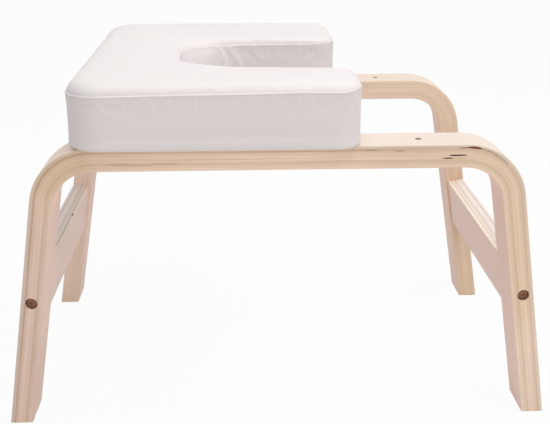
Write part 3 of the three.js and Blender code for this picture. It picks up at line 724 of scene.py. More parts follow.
# The colours of the outer and the inner face, and those of the sawn edges by their share of the depth. The
# inner face's lighter, pinker colour is painted light, the warm light in its shade.
RAIL_VENEER_AND_PAINTED_INNER_LIGHT = ((0.84, 0.69, 0.59), (0.94, 0.71, 0.62))
RAIL_BANDS = [
    (0.00, (0.82, 0.72, 0.67)),
    (0.16, (0.82, 0.72, 0.66)),
    (0.20, (0.70, 0.56, 0.47)),
    (0.24, (0.82, 0.72, 0.66)),
    (0.40, (0.85, 0.75, 0.68)),
    (0.56, (0.80, 0.68, 0.61)),
    (0.60, (0.72, 0.58, 0.48)),
    (0.64, (0.84, 0.73, 0.66)),
    (0.74, (0.84, 0.73, 0.66)),
    (0.78, (0.55, 0.37, 0.25)),
    (0.82, (0.92, 0.79, 0.65)),
    (1.00, (0.94, 0.83, 0.72)),
]
# A small knot on the closed end's rail, and the dark line that runs from it along one glue line.
# They show from the first to the second depth under the rail's upper side.
KNOT_SKIN = (0.004, 0.002)
KNOT_COLOUR = (0.10, 0.055, 0.03)
RAIL_FLECKS = [
    (0.017, 0.0184, 0.0045, 0.0011, KNOT_COLOUR, 0.9),
    (-0.030, 0.0181, 0.0450, 0.0005, KNOT_COLOUR, 0.55),
]

rail_end = abs(frame_front_inner)


def rail_point(side, out, up, y):
    """A point of a rail: so far out of its face and so far up the leg from its middle, at that y."""
    x = side * (rail_x + out * lean_cos - up * lean_sin)
    z = rail_z + out * lean_sin + up * lean_cos
    return np.stack(np.broadcast_arrays(x, y, z), -1)


def rail_rings(side):
    """The board's rings along Y: its rounded section, drawn in a little at each end."""
    section = rounded_section(RAIL_THICKNESS, RAIL_DEPTH, RAIL_ARRIS)
    y = np.array([-rail_end, RAIL_END_EASE - rail_end, rail_end - RAIL_END_EASE, rail_end])[:, None]
    drawn = np.array([RAIL_END_EASE, 0, 0, RAIL_END_EASE])[:, None]
    out = section[:, 0] * (1 - drawn / (RAIL_THICKNESS / 2))
    up = section[:, 1] * (1 - drawn / (RAIL_DEPTH / 2))
    return rail_point(side, out, up, y)


def rail_places(side):
    """Along the rail's length, and depth under its outer face, square to the face."""
    def places(points):
        out = (side * points[:, 0] - rail_x) * lean_cos + (points[:, 2] - rail_z) * lean_sin
        return points[:, 1], RAIL_THICKNESS / 2 - out
    return places


knot_zone = [rail_z + RAIL_DEPTH / 2 - depth for depth in KNOT_SKIN]
rail_materials = {
    name: laminated_wood(
        f"rail_plywood_{name}", RAIL_THICKNESS, RAIL_PLIES, RAIL_BANDS, 1, RAIL_VENEER_AND_PAINTED_INNER_LIGHT, "Z",
        [], flecks, knot_zone,
    )
    for name, flecks in (("closed", RAIL_FLECKS), ("open", []))
}
for side_name, side in (("closed", -1), ("open", 1)):
    rings = rail_rings(side)
    name = f"{side_name}_end_board"
    mesh = new_mesh(name, rings, capped_faces(*rings.shape[:2]))
    rail = add_piece(name, mesh, rail_materials[side_name], "rail_plywood", f"{side_name}_end_rail")
    tools = []
    for end in (-1, 1):
        at = rail_point(side, 0, 0, end * rail_end)
        tools.append(bore(at, (0, -end, 0), [(BOLT_HOLE_RADIUS, 0, BOLT_BORE_DEPTH)]))
        for level in (-1, 1):
            at = rail_point(side, 0, level * PIN_SPACING / 2, end * rail_end)
            tools.append(bore(at, (0, -end, 0), [(PIN_HOLE_RADIUS, 0, PIN_HOLE_DEPTH)]))
    carve(rail, tools)
    inwards = -rail_point(side, 1, 0, 0) + rail_point(side, 0, 0, 0)
    nut_places = [rail_point(side, RAIL_THICKNESS / 2, 0, end * (rail_end - NUT_INSET)) for end in (-1, 1)]
    carve(rail, [bore(at, inwards, [(NUT_HOLE_RADIUS, 0, NUT_HOLE_DEPTH)]) for at in nut_places])
    mark_fibres(rail.data, rail_places(side))

# Rail bolts.
# Bronzed steel bolts with a round head and a hexagon socket, sunk in the recess of each leg. The
# last part of each is threaded and runs through its barrel nut.
RAIL_HEAD_RADIUS = 0.0060
HEAD_HEIGHT = 0.0045
HEAD_EDGE = 0.0008
SHANK_RADIUS = 0.003
SOCKET_HALF_WIDTH = 0.002
SOCKET_DEPTH = 0.0016
SOCKET_POINT = 0.0004
SOCKET_RIM = 0.0003
SOCKET_FLARE = 1.1
THREAD_LENGTH = 0.024
THREAD_PITCH = 0.001
THREAD_DEPTH = 0.0003
THREAD_ROWS = 8
BOLT_TIP = 0.001
BOLT_STEPS = 48


def socket_bolt(place, axis, length, head_radius):
    """A bolt's rings: from the bottom of its socket over the head and down the shank to the tip. The
    socket's radius round a ring is its half width over the cosine of the turn from a flat's middle,
    and the thread's radius falls and rises with the distance and the turn."""
    turn = np.linspace(0, math.tau, BOLT_STEPS, endpoint=False)
    hexagon = SOCKET_HALF_WIDTH / np.cos(turn % (math.pi / 3) - math.pi / 6)
    top, floor = -HEAD_HEIGHT, SOCKET_DEPTH - HEAD_HEIGHT
    quarter = np.linspace(0, math.pi / 2, ARRIS_POINTS)
    rows = [(0 * hexagon, floor + SOCKET_POINT), (hexagon, floor)]
    rows += [(hexagon, top + SOCKET_RIM), (hexagon * SOCKET_FLARE, top)]
    edge_radius = head_radius - HEAD_EDGE + HEAD_EDGE * np.sin(quarter)
    rows += list(zip(edge_radius[:, None] + 0 * turn, top + HEAD_EDGE * (1 - np.cos(quarter))))
    rows += [(head_radius + 0 * turn, 0), (SHANK_RADIUS + 0 * turn, 0)]
    rows.append((SHANK_RADIUS + 0 * turn, length - THREAD_LENGTH))
    threads = int(THREAD_LENGTH / THREAD_PITCH * THREAD_ROWS)
    down = np.linspace(0, THREAD_LENGTH - BOLT_TIP, threads)[1:]
    wave = np.abs((down[:, None] / THREAD_PITCH - turn / math.tau) % 1 - 0.5) * 2
    fade = np.clip(down / THREAD_PITCH, 0, 1)[:, None]
    rows += list(zip(SHANK_RADIUS - THREAD_DEPTH * fade * (1 - wave), length - THREAD_LENGTH + down))
    rows += [(SHANK_RADIUS - BOLT_TIP + 0 * turn, length), (0 * turn, length)]
    radius = np.array([radius for radius, _ in rows])
    return turned(radius, [distance for _, distance in rows], place, axis, BOLT_STEPS)


# Metal's skin: soft clouds of tarnish and fine straight scratches.
tarnish, given, result = new_group(
    "tarnish", [("Place", "Vector")], [("Cloud", "Float"), ("Scratches", "Float")]
)
tarnish.links.new(noise_at(tarnish, given["Place"], (400, 400, 400), 3), result.inputs["Cloud"])
scratches = ramp_between(tarnish, noise_at(tarnish, given["Place"], (6000, 900, 300), 1), 0.6, 0.75)
tarnish.links.new(scratches, result.inputs["Scratches"])


def steel(name, bare, dulled, rough):
    """A metal whose colour and gloss vary between bare and dulled with the clouds of its skin."""
    material, tree = new_material(name)
    here = own_place(tree)
    skin = place_group(tree, tarnish, {"Place": here})
    cloud = ramp_between(tree, skin["Cloud"], 0.35, 0.65)
    base = mixed_colour(tree, cloud, colour(bare), colour(dulled))
    gloss = times_plus(tree, cloud, 0.14, rough)
    gloss = times_plus(tree, skin["Scratches"], 0.08, gloss)
    finish_surface(tree, base, gloss, skin["Scratches"], 0.15, 0.00005, {"Metallic": 0.9})
    return material


# Each metal's bare and dulled colour and its least roughness.
bronzed_steel = steel("bronzed_steel", (0.30, 0.16, 0.10), (0.23, 0.12, 0.075), 0.45)
zinc_steel = steel("zinc_steel", (0.66, 0.67, 0.69), (0.55, 0.56, 0.55), 0.3)


def add_turned(name, rings, material, slot, node):
    """The finished piece of rings whose first and last have shrunk to a point or meet each other."""
    return add_piece(name, new_mesh(name, rings, grid_faces(*rings.shape[:2])), material, slot, node)


def add_bolt(node, axis, material, slot, head_radius):
    """A detailed bolt in the place of a CAD one: its head's underside lies a head's height from the
    end of the node's box, and its length is the rest of the box."""
    low, high = np.array(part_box(node))
    middle, reach = (low + high) / 2, np.abs((high - low) @ np.abs(axis)) / 2
    underside = middle + np.array(axis) * (HEAD_HEIGHT - reach)
    rings = socket_bolt(underside, axis, reach * 2 - HEAD_HEIGHT, head_radius)
    return add_turned(f"{node}_turned", rings, material, slot, node)


for side_name in ("closed", "open"):
    for frame_name, facing in (("front", 1), ("rear", -1)):
        node = f"rail_bolt_{side_name}_{frame_name}"
        add_bolt(node, (0, facing, 0), bronzed_steel, "bronzed_steel", RAIL_HEAD_RADIUS)

# Barrel nuts and wooden pins.
# A zinc-plated cross nut sits in each rail with its slotted end just under the outer face. Two
# fluted beech pins beside each bolt stop the rail from turning.
NUT_RADIUS = 0.005
NUT_LENGTH = 0.016
NUT_SINK = 0.001
NUT_EDGE = 0.0005
NUT_SLOT_WIDTH = 0.0014
NUT_SLOT_DEPTH = 0.0016
NUT_CROSS_REACH = 0.006
PIN_RADIUS = 0.004
PIN_EDGE = 0.001
PIN_FLUTES = 24
FLUTE_DEPTH = 0.0003


def plug(radius, start, end, place, axis):
    """A plain closed cylinder along an axis, from start to end past the place."""
    return turned([0, radius, radius, 0], [start, start, end, end], place, axis)


def block(place, along, across, down):
    """A box's rings about the place: its half sizes along three vectors, closed at both ends."""
    corners = np.array([(-1, -1), (1, -1), (1, 1), (-1, 1)])
    ring = corners[:, :1] * np.array(along) + corners[:, 1:] * np.array(across)
    middle = np.zeros_like(ring)
    return np.asarray(place) + np.stack([middle - down, ring - down, ring + down, middle + down])


def barrel_nut(side, y):
    """The nut's rings, from its inner to its outer end, with both rims eased."""
    outer = RAIL_THICKNESS / 2 - NUT_SINK
    at = rail_point(side, outer - NUT_LENGTH, 0, y)
    out = rail_point(side, 1, 0, 0) - rail_point(side, 0, 0, 0)
    radius = [0, NUT_RADIUS - NUT_EDGE, NUT_RADIUS, NUT_RADIUS, NUT_RADIUS - NUT_EDGE, 0]
    distance = [0, 0, NUT_EDGE, NUT_LENGTH - NUT_EDGE, NUT_LENGTH, NUT_LENGTH]
    return turned(radius, distance, at, out), at, out


def fluted_pin(place):
    """A pin's rings along Y, with flutes that run its length between its chamfered ends."""
    turn = np.linspace(0, math.tau, PIN_FLUTES * 4, endpoint=False)
    flutes = PIN_RADIUS - FLUTE_DEPTH * (0.5 + 0.5 * np.cos(PIN_FLUTES * turn))
    chamfered, closed, end = flutes - PIN_EDGE, 0 * flutes, PIN_HALF_LENGTH
    radius = np.array([closed, chamfered, flutes, flutes, chamfered, closed])
    distance = [-end, -end, PIN_EDGE - end, end - PIN_EDGE, end, end]
    return turned(radius, distance, place, (0, 1, 0), len(turn))


def solid_wood(name, tint, axes, ply=None):
    """A plain wood on Object coordinates, whose axes lie along, across and into the grain, with plies
    of that thickness if it has them."""
    material, tree = new_material(name)
    here = parts_of(tree, own_place(tree))
    parts = {k: here[axis] for k, axis in enumerate(axes)}
    vector = add_node(tree, "ShaderNodeCombineXYZ", inputs=parts).outputs[0]
    grain = place_group(tree, wood_grain, {"Fibres": vector})
    light = times_plus(tree, grain["Streaks"], 0.5, 0.75)
    light = times_plus(tree, grain["Pores"], -0.15, light)
    if ply:
        layers = place_group(tree, plies, {"Fibres": vector, "Ply": ply})
        light = times_plus(tree, layers["Tone"], 0.25, light)
        light = times_plus(tree, layers["Glue"], -0.25, light)
    base = scaled_colour(tree, tint, light)
    finish_wood(tree, base, grain["Streaks"], grain["Streaks"])
    return material


beech = solid_wood("beech", (0.62, 0.42, 0.25), ("Y", "X", "Z"))
for side_name, side in (("closed", -1), ("open", 1)):
    for frame_name, end in (("front", -1), ("rear", 1)):
        joint = f"{side_name}_{frame_name}"
        rings, at, out = barrel_nut(side, end * (rail_end - NUT_INSET))
        node = f"barrel_nut_{joint}"
        nut = add_turned(f"{node}_turned", rings, zinc_steel, "zinc_steel", node)
        nut_middle = rail_point(side, 0, 0, end * (rail_end - NUT_INSET))
        cross = plug(BOLT_HOLE_RADIUS, -NUT_CROSS_REACH, NUT_CROSS_REACH, nut_middle, (0, 1, 0))
        slot_at = at + out * (NUT_LENGTH - NUT_SLOT_DEPTH / 2 + PAST_FACE / 2)
        slot_across = np.cross(out, (0, 1, 0)) * NUT_SLOT_WIDTH / 2
        slot_down = out * (NUT_SLOT_DEPTH + PAST_FACE) / 2
        carve(nut, [cross, block(slot_at, (0, NUT_RADIUS * 2, 0), slot_across, slot_down)])
        for level_name, level in (("lower", -1), ("upper", 1)):
            node = f"rail_pin_{joint}_{level_name}"
            rings = fluted_pin(rail_point(side, 0, level * PIN_SPACING / 2, end * rail_end))
            add_turned(f"{node}_fluted", rings, beech, "beech", node)

# Seat board and its fasteners.
# The board is raw plywood, out of sight between the foam and the dust cloth. Four bolts with
# washers come up through the frames into tee nuts that are driven into its upper face.
WASHER_RADIUS = 0.0085
WASHER_THICKNESS = 0.0016
WASHER_EDGE = 0.0003
SEAT_HEAD_RADIUS = 0.0050
BOARD_PLY = 0.0013
SEAT_JOINTS = ("front_1", "front_2", "rear_1", "rear_2")

seat_plywood = solid_wood("seat_plywood", (0.62, 0.45, 0.29), ("X", "Y", "Z"), BOARD_PLY)


def dress(node, material):
    """Gives a CAD node's object the material in every slot."""
    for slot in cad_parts[node].material_slots:
        slot.material = material


dress("seat_board", seat_plywood)
for joint in SEAT_JOINTS:
    dress(f"tee_nut_{joint}", zinc_steel)
    add_bolt(f"seat_bolt_{joint}", (0, 0, 1), zinc_steel, "zinc_steel", SEAT_HEAD_RADIUS)
    node = f"seat_washer_{joint}"
    low, high = np.array(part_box(node))
    at = np.array([*(low + high)[:2] / 2, low[2]])
    edge, far = WASHER_EDGE, WASHER_THICKNESS
    outer, inner = WASHER_RADIUS, BOLT_HOLE_RADIUS
    radius = [inner + edge, outer - edge, outer, outer, outer - edge]
    radius += [inner + edge, inner, inner, inner + edge]
    distance = [0, 0, edge, far - edge, far, far, far - edge, edge, 0]
    add_turned(f"{node}_pressed", turned(radius, distance, at, (0, 0, 1)), zinc_steel, "zinc_steel", node)

# Seat foam.
# One block of white upholstery foam, glued on the board and cut to the seat's outline, with
# pockets over the tee nuts. Its upper edge is rounded, and the cover is drawn tight over it.
SEAT_CLOSED_CORNER = 0.040
SEAT_ARM_CORNER = 0.026
LEAST_CORNER = 0.006
NECK_HALF_WIDTH = 0.083
NECK_DEPTH = 0.193
NECK_CORNER = 0.0825
POINT_SPACING = 0.003
REAR_CUT_RUN = 4
SEAM_HEIGHT = 0.0570
# How far the seam sags below its height, by x. The most is at the closed end.
SAG_PLACES = [-0.213, -0.199, -0.160, -0.139, -0.118, -0.080, -0.030, 0.000, 0.020, 0.060, 0.072, 0.080]
SAGS = [0.0036, 0.0031, 0.0026, 0.0022, 0.0018, 0.0014, 0.0008, 0.0003, -0.0003, 0.0002, -0.0004, -0.0024]
SEAM_PINCH = 0.0013
SIDE_DRAW_IN = 0.0004
SIDE_HOLLOW = 0.0006
# The crown's height over the seam's, and how soon it is reached, at each corner of the outline.
CROWN_HEIGHTS = [0.0118, 0.0136, 0.0096, 0.0126, 0.0105, 0.0100, 0.0142, 0.0146]
CROWN_REACHES = [0.0055, 0.007, 0.012, 0.015, 0.0042, 0.0045, 0.006, 0.0065]
# Along the far side of the neck cut the seam lies flat, to the first places along X. Round the cut's
# end it is drawn back too, to the second.
FLAT_SEAM_END = (0.040, 0.070)
SOFT_END = (-0.085, -0.045)
SOFT_DRAWN_BACK = 0.009
SOFT_REACH = 0.006
CROWN_FLAT = 0.044
UNDER_COVER = 0.0016
OVER_BOARD = 0.0003
FOAM_GRID = 0.012
NUT_POCKET_RADIUS = 0.0098
NUT_POCKET_DEPTH = 0.0022
FAR_SAG_SHARE = 0.3
# The sag fades from the first place along Y to the second.
SAG_FADE = (-0.13, 0.14)
# The neck cut's far side counts in full past this share of the cut's half width.
FAR_SIDE_START = 0.6
ON_OUTLINE = 0.001
# A filling grid's rows lie this far apart, and its points this far off the ring, in its spacings.
ROW_SPACING = 0.9
RING_GAP = 0.7
FOAM_RISES = np.array([0, 0.3, 0.62, 0.85, 1])
FOAM_INSETS = (0.004, 0.009, 0.016, 0.028, CROWN_FLAT)
FOAM_WHITE = (0.80, 0.78, 0.70)
FOAM_YELLOWED = (0.74, 0.70, 0.58)

seat_low, seat_high = np.array(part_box("seat_cover"))
board_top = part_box("seat_board")[1][2]
neck_end = seat_high[0] - NECK_DEPTH
WAYS_ON = np.array([(1, 0), (0, 1), (-1, 0), (0, 1), (1, 0), (0, 1), (-1, 0), (0, -1)])
WAYS_IN = np.roll(WAYS_ON, 1, 0)


def seat_corners(insets):
    """The seat's eight corners for each inset, anticlockwise from the closed end's front one: where
    each quarter circle has its middle, and its radius."""
    inset = np.asarray(insets, float).reshape(-1, 1)
    left, right, end = seat_low[0] + inset, seat_high[0] - inset, neck_end - inset
    side, cut = seat_high[1] - inset, NECK_HALF_WIDTH + inset
    x = np.hstack([left, right, right, end, end, right, right, left])
    y = np.hstack([-side, -side, -cut, -cut, cut, cut, side, side])
    closed = np.maximum(SEAT_CLOSED_CORNER - inset, LEAST_CORNER)
    arm = np.maximum(SEAT_ARM_CORNER - inset, LEAST_CORNER)
    neck = NECK_CORNER + inset
    radius = np.hstack([closed, arm, arm, neck, neck, arm, arm, closed])[..., None]
    return np.stack([x, y], -1) + radius * (WAYS_ON - WAYS_IN), radius


middle, radius = seat_corners([0])
next_starts = np.roll(middle - radius * WAYS_ON, -1, 1)
run_lengths = np.linalg.norm(next_starts - middle - radius * WAYS_IN, axis=2)[0]
arc_counts = np.round(radius[0, :, 0] * math.pi / 2 / POINT_SPACING).astype(int) + 1
run_counts = np.maximum(np.round(run_lengths / POINT_SPACING).astype(int) - 1, 0)
run_counts[REAR_CUT_RUN] *= 2


def seat_outline(insets):
    """A ring of the seat's outline for each inset. A corner is middle + r (way in · sin - way on ·
    cos) over a quarter turn, and a straight run goes on from it to the next corner."""
    middle, radius = seat_corners(insets)
    starts, stops = middle - radius * WAYS_ON, middle + radius * WAYS_IN
    parts = []
    for k in range(len(WAYS_ON)):
        turn = np.linspace(0, math.pi / 2, arc_counts[k])[:, None]
        quarter = WAYS_IN[k] * np.sin(turn) - WAYS_ON[k] * np.cos(turn)
        parts.append(middle[:, k, None] + radius[:, k, None] * quarter)
        share = np.linspace(0, 1, run_counts[k] + 2)[1:-1, None]
        following = starts[:, (k + 1) % len(WAYS_ON), None]
        parts.append(stops[:, k, None] * (1 - share) + following * share)
    return np.concatenate(parts, 1)


def wall_inset(share):
    """How far the side band is drawn in, by its share of the way up: evenly from foot to seam, and
    a little more between them, by hollow · (1 - (2 share - 1)⁴)."""
    return SIDE_DRAW_IN + (SEAM_PINCH - SIDE_DRAW_IN) * share + SIDE_HOLLOW * (1 - (2 * share - 1) ** 4)


def round_ring(values):
    """A value for each point of a ring: each corner's own at the middle of its arc, and a soft change
    from each to the next by (1 - cos) / 2."""
    starts = np.concatenate([[0], np.cumsum(arc_counts + run_counts)])
    middles = starts[:-1] + arc_counts / 2
    middles = np.concatenate([middles, [middles[0] + starts[-1]]])
    step = np.arange(starts[-1]) + np.where(np.arange(starts[-1]) < middles[0], starts[-1], 0)
    before = np.searchsorted(middles, step, "right") - 1
    share = (step - middles[before]) / (middles[before + 1] - middles[before])
    values = np.array([*values, values[0]])
    return values[before] + (values[before + 1] - values[before]) * (1 - np.cos(share * math.pi)) / 2


outline_x, outline_y = seat_outline([0])[0].T
sag_share = np.interp(outline_y, SAG_FADE, [1, FAR_SAG_SHARE])
seam_sag = np.interp(outline_x, SAG_PLACES, SAGS) * sag_share
seam_level = seat_low[2] + SEAM_HEIGHT - seam_sag
inward = (seat_outline([POINT_SPACING]) - seat_outline([0]))[0] / POINT_SPACING
on_neck = (np.abs(outline_y) < NECK_HALF_WIDTH + ON_OUTLINE) & (outline_x > neck_end - ON_OUTLINE)
far_side = np.clip(outline_y / (NECK_HALF_WIDTH * FAR_SIDE_START), 0, 1) * on_neck
soft_share = (1 - np.cos(np.interp(outline_x, SOFT_END, (1, 0)) * far_side * math.pi)) / 2
flat_share = (1 - np.cos(np.interp(outline_x, FLAT_SEAM_END, (1, 0)) * far_side * math.pi)) / 2
drawn_back = SOFT_DRAWN_BACK * soft_share


def stacked_rings(profile):
    """Rings of the outline up a profile of (inset, height) pairs. A height may differ round a ring.
    Near the seam they are drawn back by share⁴, and in the crown by less and less to its flat."""
    inset = np.array([inset for inset, _ in profile])
    flat = seat_outline(inset)
    height = np.stack([np.broadcast_to(level, flat.shape[1]) for _, level in profile])
    share = np.clip((height - seat_low[2]) / (seam_level - seat_low[2]), 0, 1) ** 4
    share = share * np.clip((CROWN_FLAT - inset) / CROWN_FLAT, 0, 1)[:, None]
    flat = flat + (share * drawn_back)[..., None] * inward
    return np.dstack([flat, height])


def crown_level(inset):
    """The top panel's height round a ring: it rises from the seam by crown · (1 - exp(-d / reach)),
    where d is the distance from the seam, scaled to reach the crown's full height at its flat."""
    reach = round_ring(CROWN_REACHES) + SOFT_REACH * soft_share
    height = round_ring(CROWN_HEIGHTS) + seam_sag
    rise = (1 - np.exp(-(inset - SEAM_PINCH) / reach)) / (1 - np.exp(-(CROWN_FLAT - SEAM_PINCH) / reach))
    return seam_level + height * rise


def filled_ring(ring, inset, spacing):
    """What closes a ring: points on a grid inside it, a little way off it, and the triangles that
    join ring and grid, facing up and numbered with the ring's points first. A point's height is the
    mean of the ring's heights, weighed by one over the square of the distance."""
    rows = np.arange(-seat_high[1], seat_high[1], spacing * ROW_SPACING)
    x, y = np.meshgrid(np.arange(seat_low[0], seat_high[0], spacing), rows)
    x = x + spacing / 2 * (np.arange(len(x)) % 2)[:, None]
    gap = inset + spacing * RING_GAP
    within = (x > seat_low[0] + gap) & (x < seat_high[0] - gap) & (np.abs(y) < seat_high[1] - gap)
    from_cut = np.hypot(np.minimum(x - neck_end - NECK_HALF_WIDTH, 0), y)
    within &= from_cut > NECK_HALF_WIDTH + gap
    inner = np.stack([x[within], y[within]], -1)
    weight = 1 / np.sum((inner[:, None] - ring[None, :, :2]) ** 2, axis=2)
    inner = np.column_stack([inner, weight @ ring[:, 2] / weight.sum(1)])
    flat = [Vector(point) for point in np.vstack([ring, inner])[:, :2]]
    found = delaunay_2d_cdt(flat, [], [list(range(len(ring)))], 1, MERGE_DISTANCE)
    triangles = np.array(found[2])
    corners = np.array(found[0])[triangles]
    one, two = corners[:, 1] - corners[:, 0], corners[:, 2] - corners[:, 0]
    under = one[:, 0] * two[:, 1] < one[:, 1] * two[:, 0]
    triangles[under] = triangles[under][:, ::-1]
    return inner, triangles


def stacked_skin(profile, spacing):
    """A skin up a profile and closed over its last ring: its points and its faces."""
    rings = stacked_rings(profile)
    inner, triangles = filled_ring(rings[-1], profile[-1][0], spacing)
    rows, columns = rings.shape[:2]
    quads = grid_faces(rows, columns)
    points = np.vstack([rings.reshape(-1, 3), inner])
    return points, quads.tolist() + (triangles + (rows - 1) * columns).tolist(), rows, columns


def closed_block(profile, spacing):
    """A stacked skin that is closed under its first ring too: its points, its faces and that ring."""
    points, faces, _, columns = stacked_skin(profile, spacing)
    inner, triangles = filled_ring(points[:columns], profile[0][0], spacing)
    under = np.where(triangles < columns, triangles, triangles - columns + len(points))[:, ::-1]
    return np.vstack([points, inner]), faces + under.tolist(), points[:columns]


foam_foot = board_top + OVER_BOARD
foam_rise = [
    (UNDER_COVER + wall_inset(share), seam_level * share + foam_foot * (1 - share)) for share in FOAM_RISES
]
foam_crown = [(UNDER_COVER + inset, crown_level(inset) - UNDER_COVER) for inset in FOAM_INSETS]
points, faces, _ = closed_block(foam_rise + foam_crown, FOAM_GRID)
foam, tree = new_material("white_foam")
here = own_place(tree)
cells = add_node(tree, "ShaderNodeTexVoronoi", inputs={"Vector": here, "Scale": 900}).outputs["Distance"]
patches = noise_at(tree, here, (30, 30, 30), 2)
tint = mixed_colour(tree, patches, colour(FOAM_WHITE), colour(FOAM_YELLOWED))
finish_surface(tree, tint, times_plus(tree, patches, 0.1, 0.85), cells, 0.6, 0.0004)
foam_block = add_piece("foam_block", new_mesh("foam_block", points, faces), foam, "foam", "seat_foam")
pockets = []
for joint in SEAT_JOINTS:
    low, high = np.array(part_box(f"tee_nut_{joint}"))
    at = np.array([*(low + high)[:2] / 2, foam_foot])
    pockets.append(plug(NUT_POCKET_RADIUS, -PAST_FACE, NUT_POCKET_DEPTH, at, (0, 0, 1)))
carve(foam_block, pockets)

# Seat cover.
# White grained leathercloth: a side band and a top panel, sewn together round the upper edge with a
# raised seam. It is drawn over the foam, turned under the board and stapled there, and the panel's
# spare length shows as small puckers along the seam.
COVER_THICKNESS = 0.0012
COVER_EDGE_RADIUS = 0.0035
COVER_HEM = 0.025
HEM_ROWS = 7
TURN_ROWS = 4
WALL_ROWS = 19
CROWN_ROWS = 14
CROWN_START = 0.02
CROWN_EASE = 1.4
TOP_GRID = 0.005
LIP_RADIUS = 0.0009
LIP_INSET = 0.0020
LIP_RISE = 0.0010
LIP_SHADE = 0.6
NECK_SEAM_SHADE = 0.15
LIP_SOFTENED = 0.8
GROOVE_INSET = 0.0014
GROOVE_RISE = 0.0001
LIP_TURNS = np.radians([-55, 0, 45, 90, 140])
LINING_GRID = 0.012
CLOTH_FRAMES = 12
FOAM_HOLD = 0.1
LINING_PINCH = 1.6
LINING_RISES = (0.3, 0.62, 0.85)
LINING_INSETS = (0.006, 0.010, 0.016, 0.028, CROWN_FLAT)
LEATHER_COLOUR = (0.80, 0.748, 0.738)
LEATHER_SHADED = (0.785, 0.74, 0.735)
# Painted shade along the seam's groove, less on its lip and faint round the neck cut.
SEAM_PAINTED_SHADE = (0.76, 0.71, 0.695)
# A painted highlight on the creases, so that both their flanks look lit.
CREASE_PAINTED_HIGHLIGHT = (0.89, 0.85, 0.84)
SPARE_EVEN = 0.2
PUCKER_ROWS = 6
PUCKER_REACH = 0.012
MOST_MOVE = 0.0018
LEAST_MOVE = 1e-9
CREASE_REACH = 0.012
NECK_REACH = 0.01
# The leather as cloth: its own settings, the air inside it, how the foam holds it, and that it has up
# to 3 % of spare length where the group "taut" is 0.
CLOTH_SETTINGS = {
    "quality": 5,
    "mass": 0.3,
    "tension_stiffness": 15,
    "compression_stiffness": 15,
    "shear_stiffness": 5,
    "bending_stiffness": 0.1,
    "use_pressure": True,
    "uniform_pressure_force": 1,
    "vertex_group_mass": "held",
    "pin_stiffness": 1,
    "vertex_group_shrink": "taut",
    "shrink_min": -0.03,
}

edge_turn = np.linspace(0, math.pi / 2, TURN_ROWS + 1)[1:]
hem = [(inset, seat_low[2]) for inset in np.linspace(COVER_HEM, SIDE_DRAW_IN + COVER_EDGE_RADIUS, HEM_ROWS)]
turn_insets = SIDE_DRAW_IN + COVER_EDGE_RADIUS * (1 - np.sin(edge_turn))
turn_under = list(zip(turn_insets, seat_low[2] + COVER_EDGE_RADIUS * (1 - np.cos(edge_turn))))
wall_foot = seat_low[2] + COVER_EDGE_RADIUS
wall = [
    (wall_inset(share), wall_foot + (seam_level - wall_foot) * share)
    for share in np.linspace(0, 1, WALL_ROWS)[1:]
]
groove = [(GROOVE_INSET, seam_level + GROOVE_RISE)]
lip_share = 1 - LIP_SOFTENED * flat_share
lip_rises = LIP_RISE + LIP_RADIUS * np.sin(LIP_TURNS)
lip = [
    (inset, seam_level + rise * lip_share)
    for inset, rise in zip(LIP_INSET - LIP_RADIUS * np.cos(LIP_TURNS), lip_rises)
]
crown_steps = np.linspace(CROWN_START, 1, CROWN_ROWS) ** CROWN_EASE
crown_insets = LIP_INSET + LIP_RADIUS + (CROWN_FLAT - LIP_INSET - LIP_RADIUS) * crown_steps
crown = [(inset, crown_level(inset)) for inset in crown_insets]
cover_profile = hem + turn_under + wall + groove + lip + crown
skin, skin_faces, rows, columns = stacked_skin(cover_profile, TOP_GRID)
row_of = np.minimum(np.arange(len(skin)) // columns, rows)
wall_row, seam_row = len(hem + turn_under), len(hem + turn_under + wall)
top_row = seam_row + len(groove + lip)


def drawn_tight(points, faces, held, taut):
    """The skin after a light air pressure has blown it out as cloth. held says how firmly each point
    is kept in its place, and taut which part of the spare cloth is missing there."""
    mesh = bpy.data.meshes.new("cover_cloth")
    mesh.from_pydata(points.tolist(), [], faces)
    cloth_piece = bpy.data.objects.new("cover_cloth", mesh)
    scene.collection.objects.link(cloth_piece)
    for name, weights in (("held", held), ("taut", taut)):
        group = cloth_piece.vertex_groups.new(name=name)
        for weight in np.unique(weights):
            group.add(np.flatnonzero(weights == weight).tolist(), float(weight), "REPLACE")
    cloth = cloth_piece.modifiers.new("cloth", "CLOTH")
    for name, value in CLOTH_SETTINGS.items():
        setattr(cloth.settings, name, value)
    cloth.settings.effector_weights.gravity = 0
    cloth.point_cache.frame_start, cloth.point_cache.frame_end = 1, CLOTH_FRAMES
    for number in range(1, CLOTH_FRAMES + 1):
        scene.frame_set(number)
    shape = cloth_piece.evaluated_get(bpy.context.evaluated_depsgraph_get()).to_mesh()
    settled = np.empty(len(points) * 3)
    shape.vertices.foreach_get("co", settled)
    scene.frame_set(1)
    bpy.data.objects.remove(cloth_piece)
    return settled.reshape(-1, 3)


def off_path(flat, path):
    """How far each flat point lies from a path of straight parts."""
    path = np.array(path)
    start, way = path[:-1], np.diff(path, axis=0)
    share = np.sum((flat[:, None] - start) * way, axis=2) / np.sum(way ** 2, axis=1)
    nearest = start + np.clip(share, 0, 1)[..., None] * way
    return np.linalg.norm(flat[:, None] - nearest, axis=2).min(1)


# Where the seam has more spare cloth than elsewhere, seen from above: on the front side, along the
# neck cut and on the rear side.
PUCKERS = [
    (-0.165, -0.171), (-0.076, -0.171), (0.066, -0.166),
    (-0.035, 0.084), (-0.008, 0.084), (0.022, 0.084), (0.052, 0.084),
    (0.110, 0.171), (-0.150, 0.171),
]
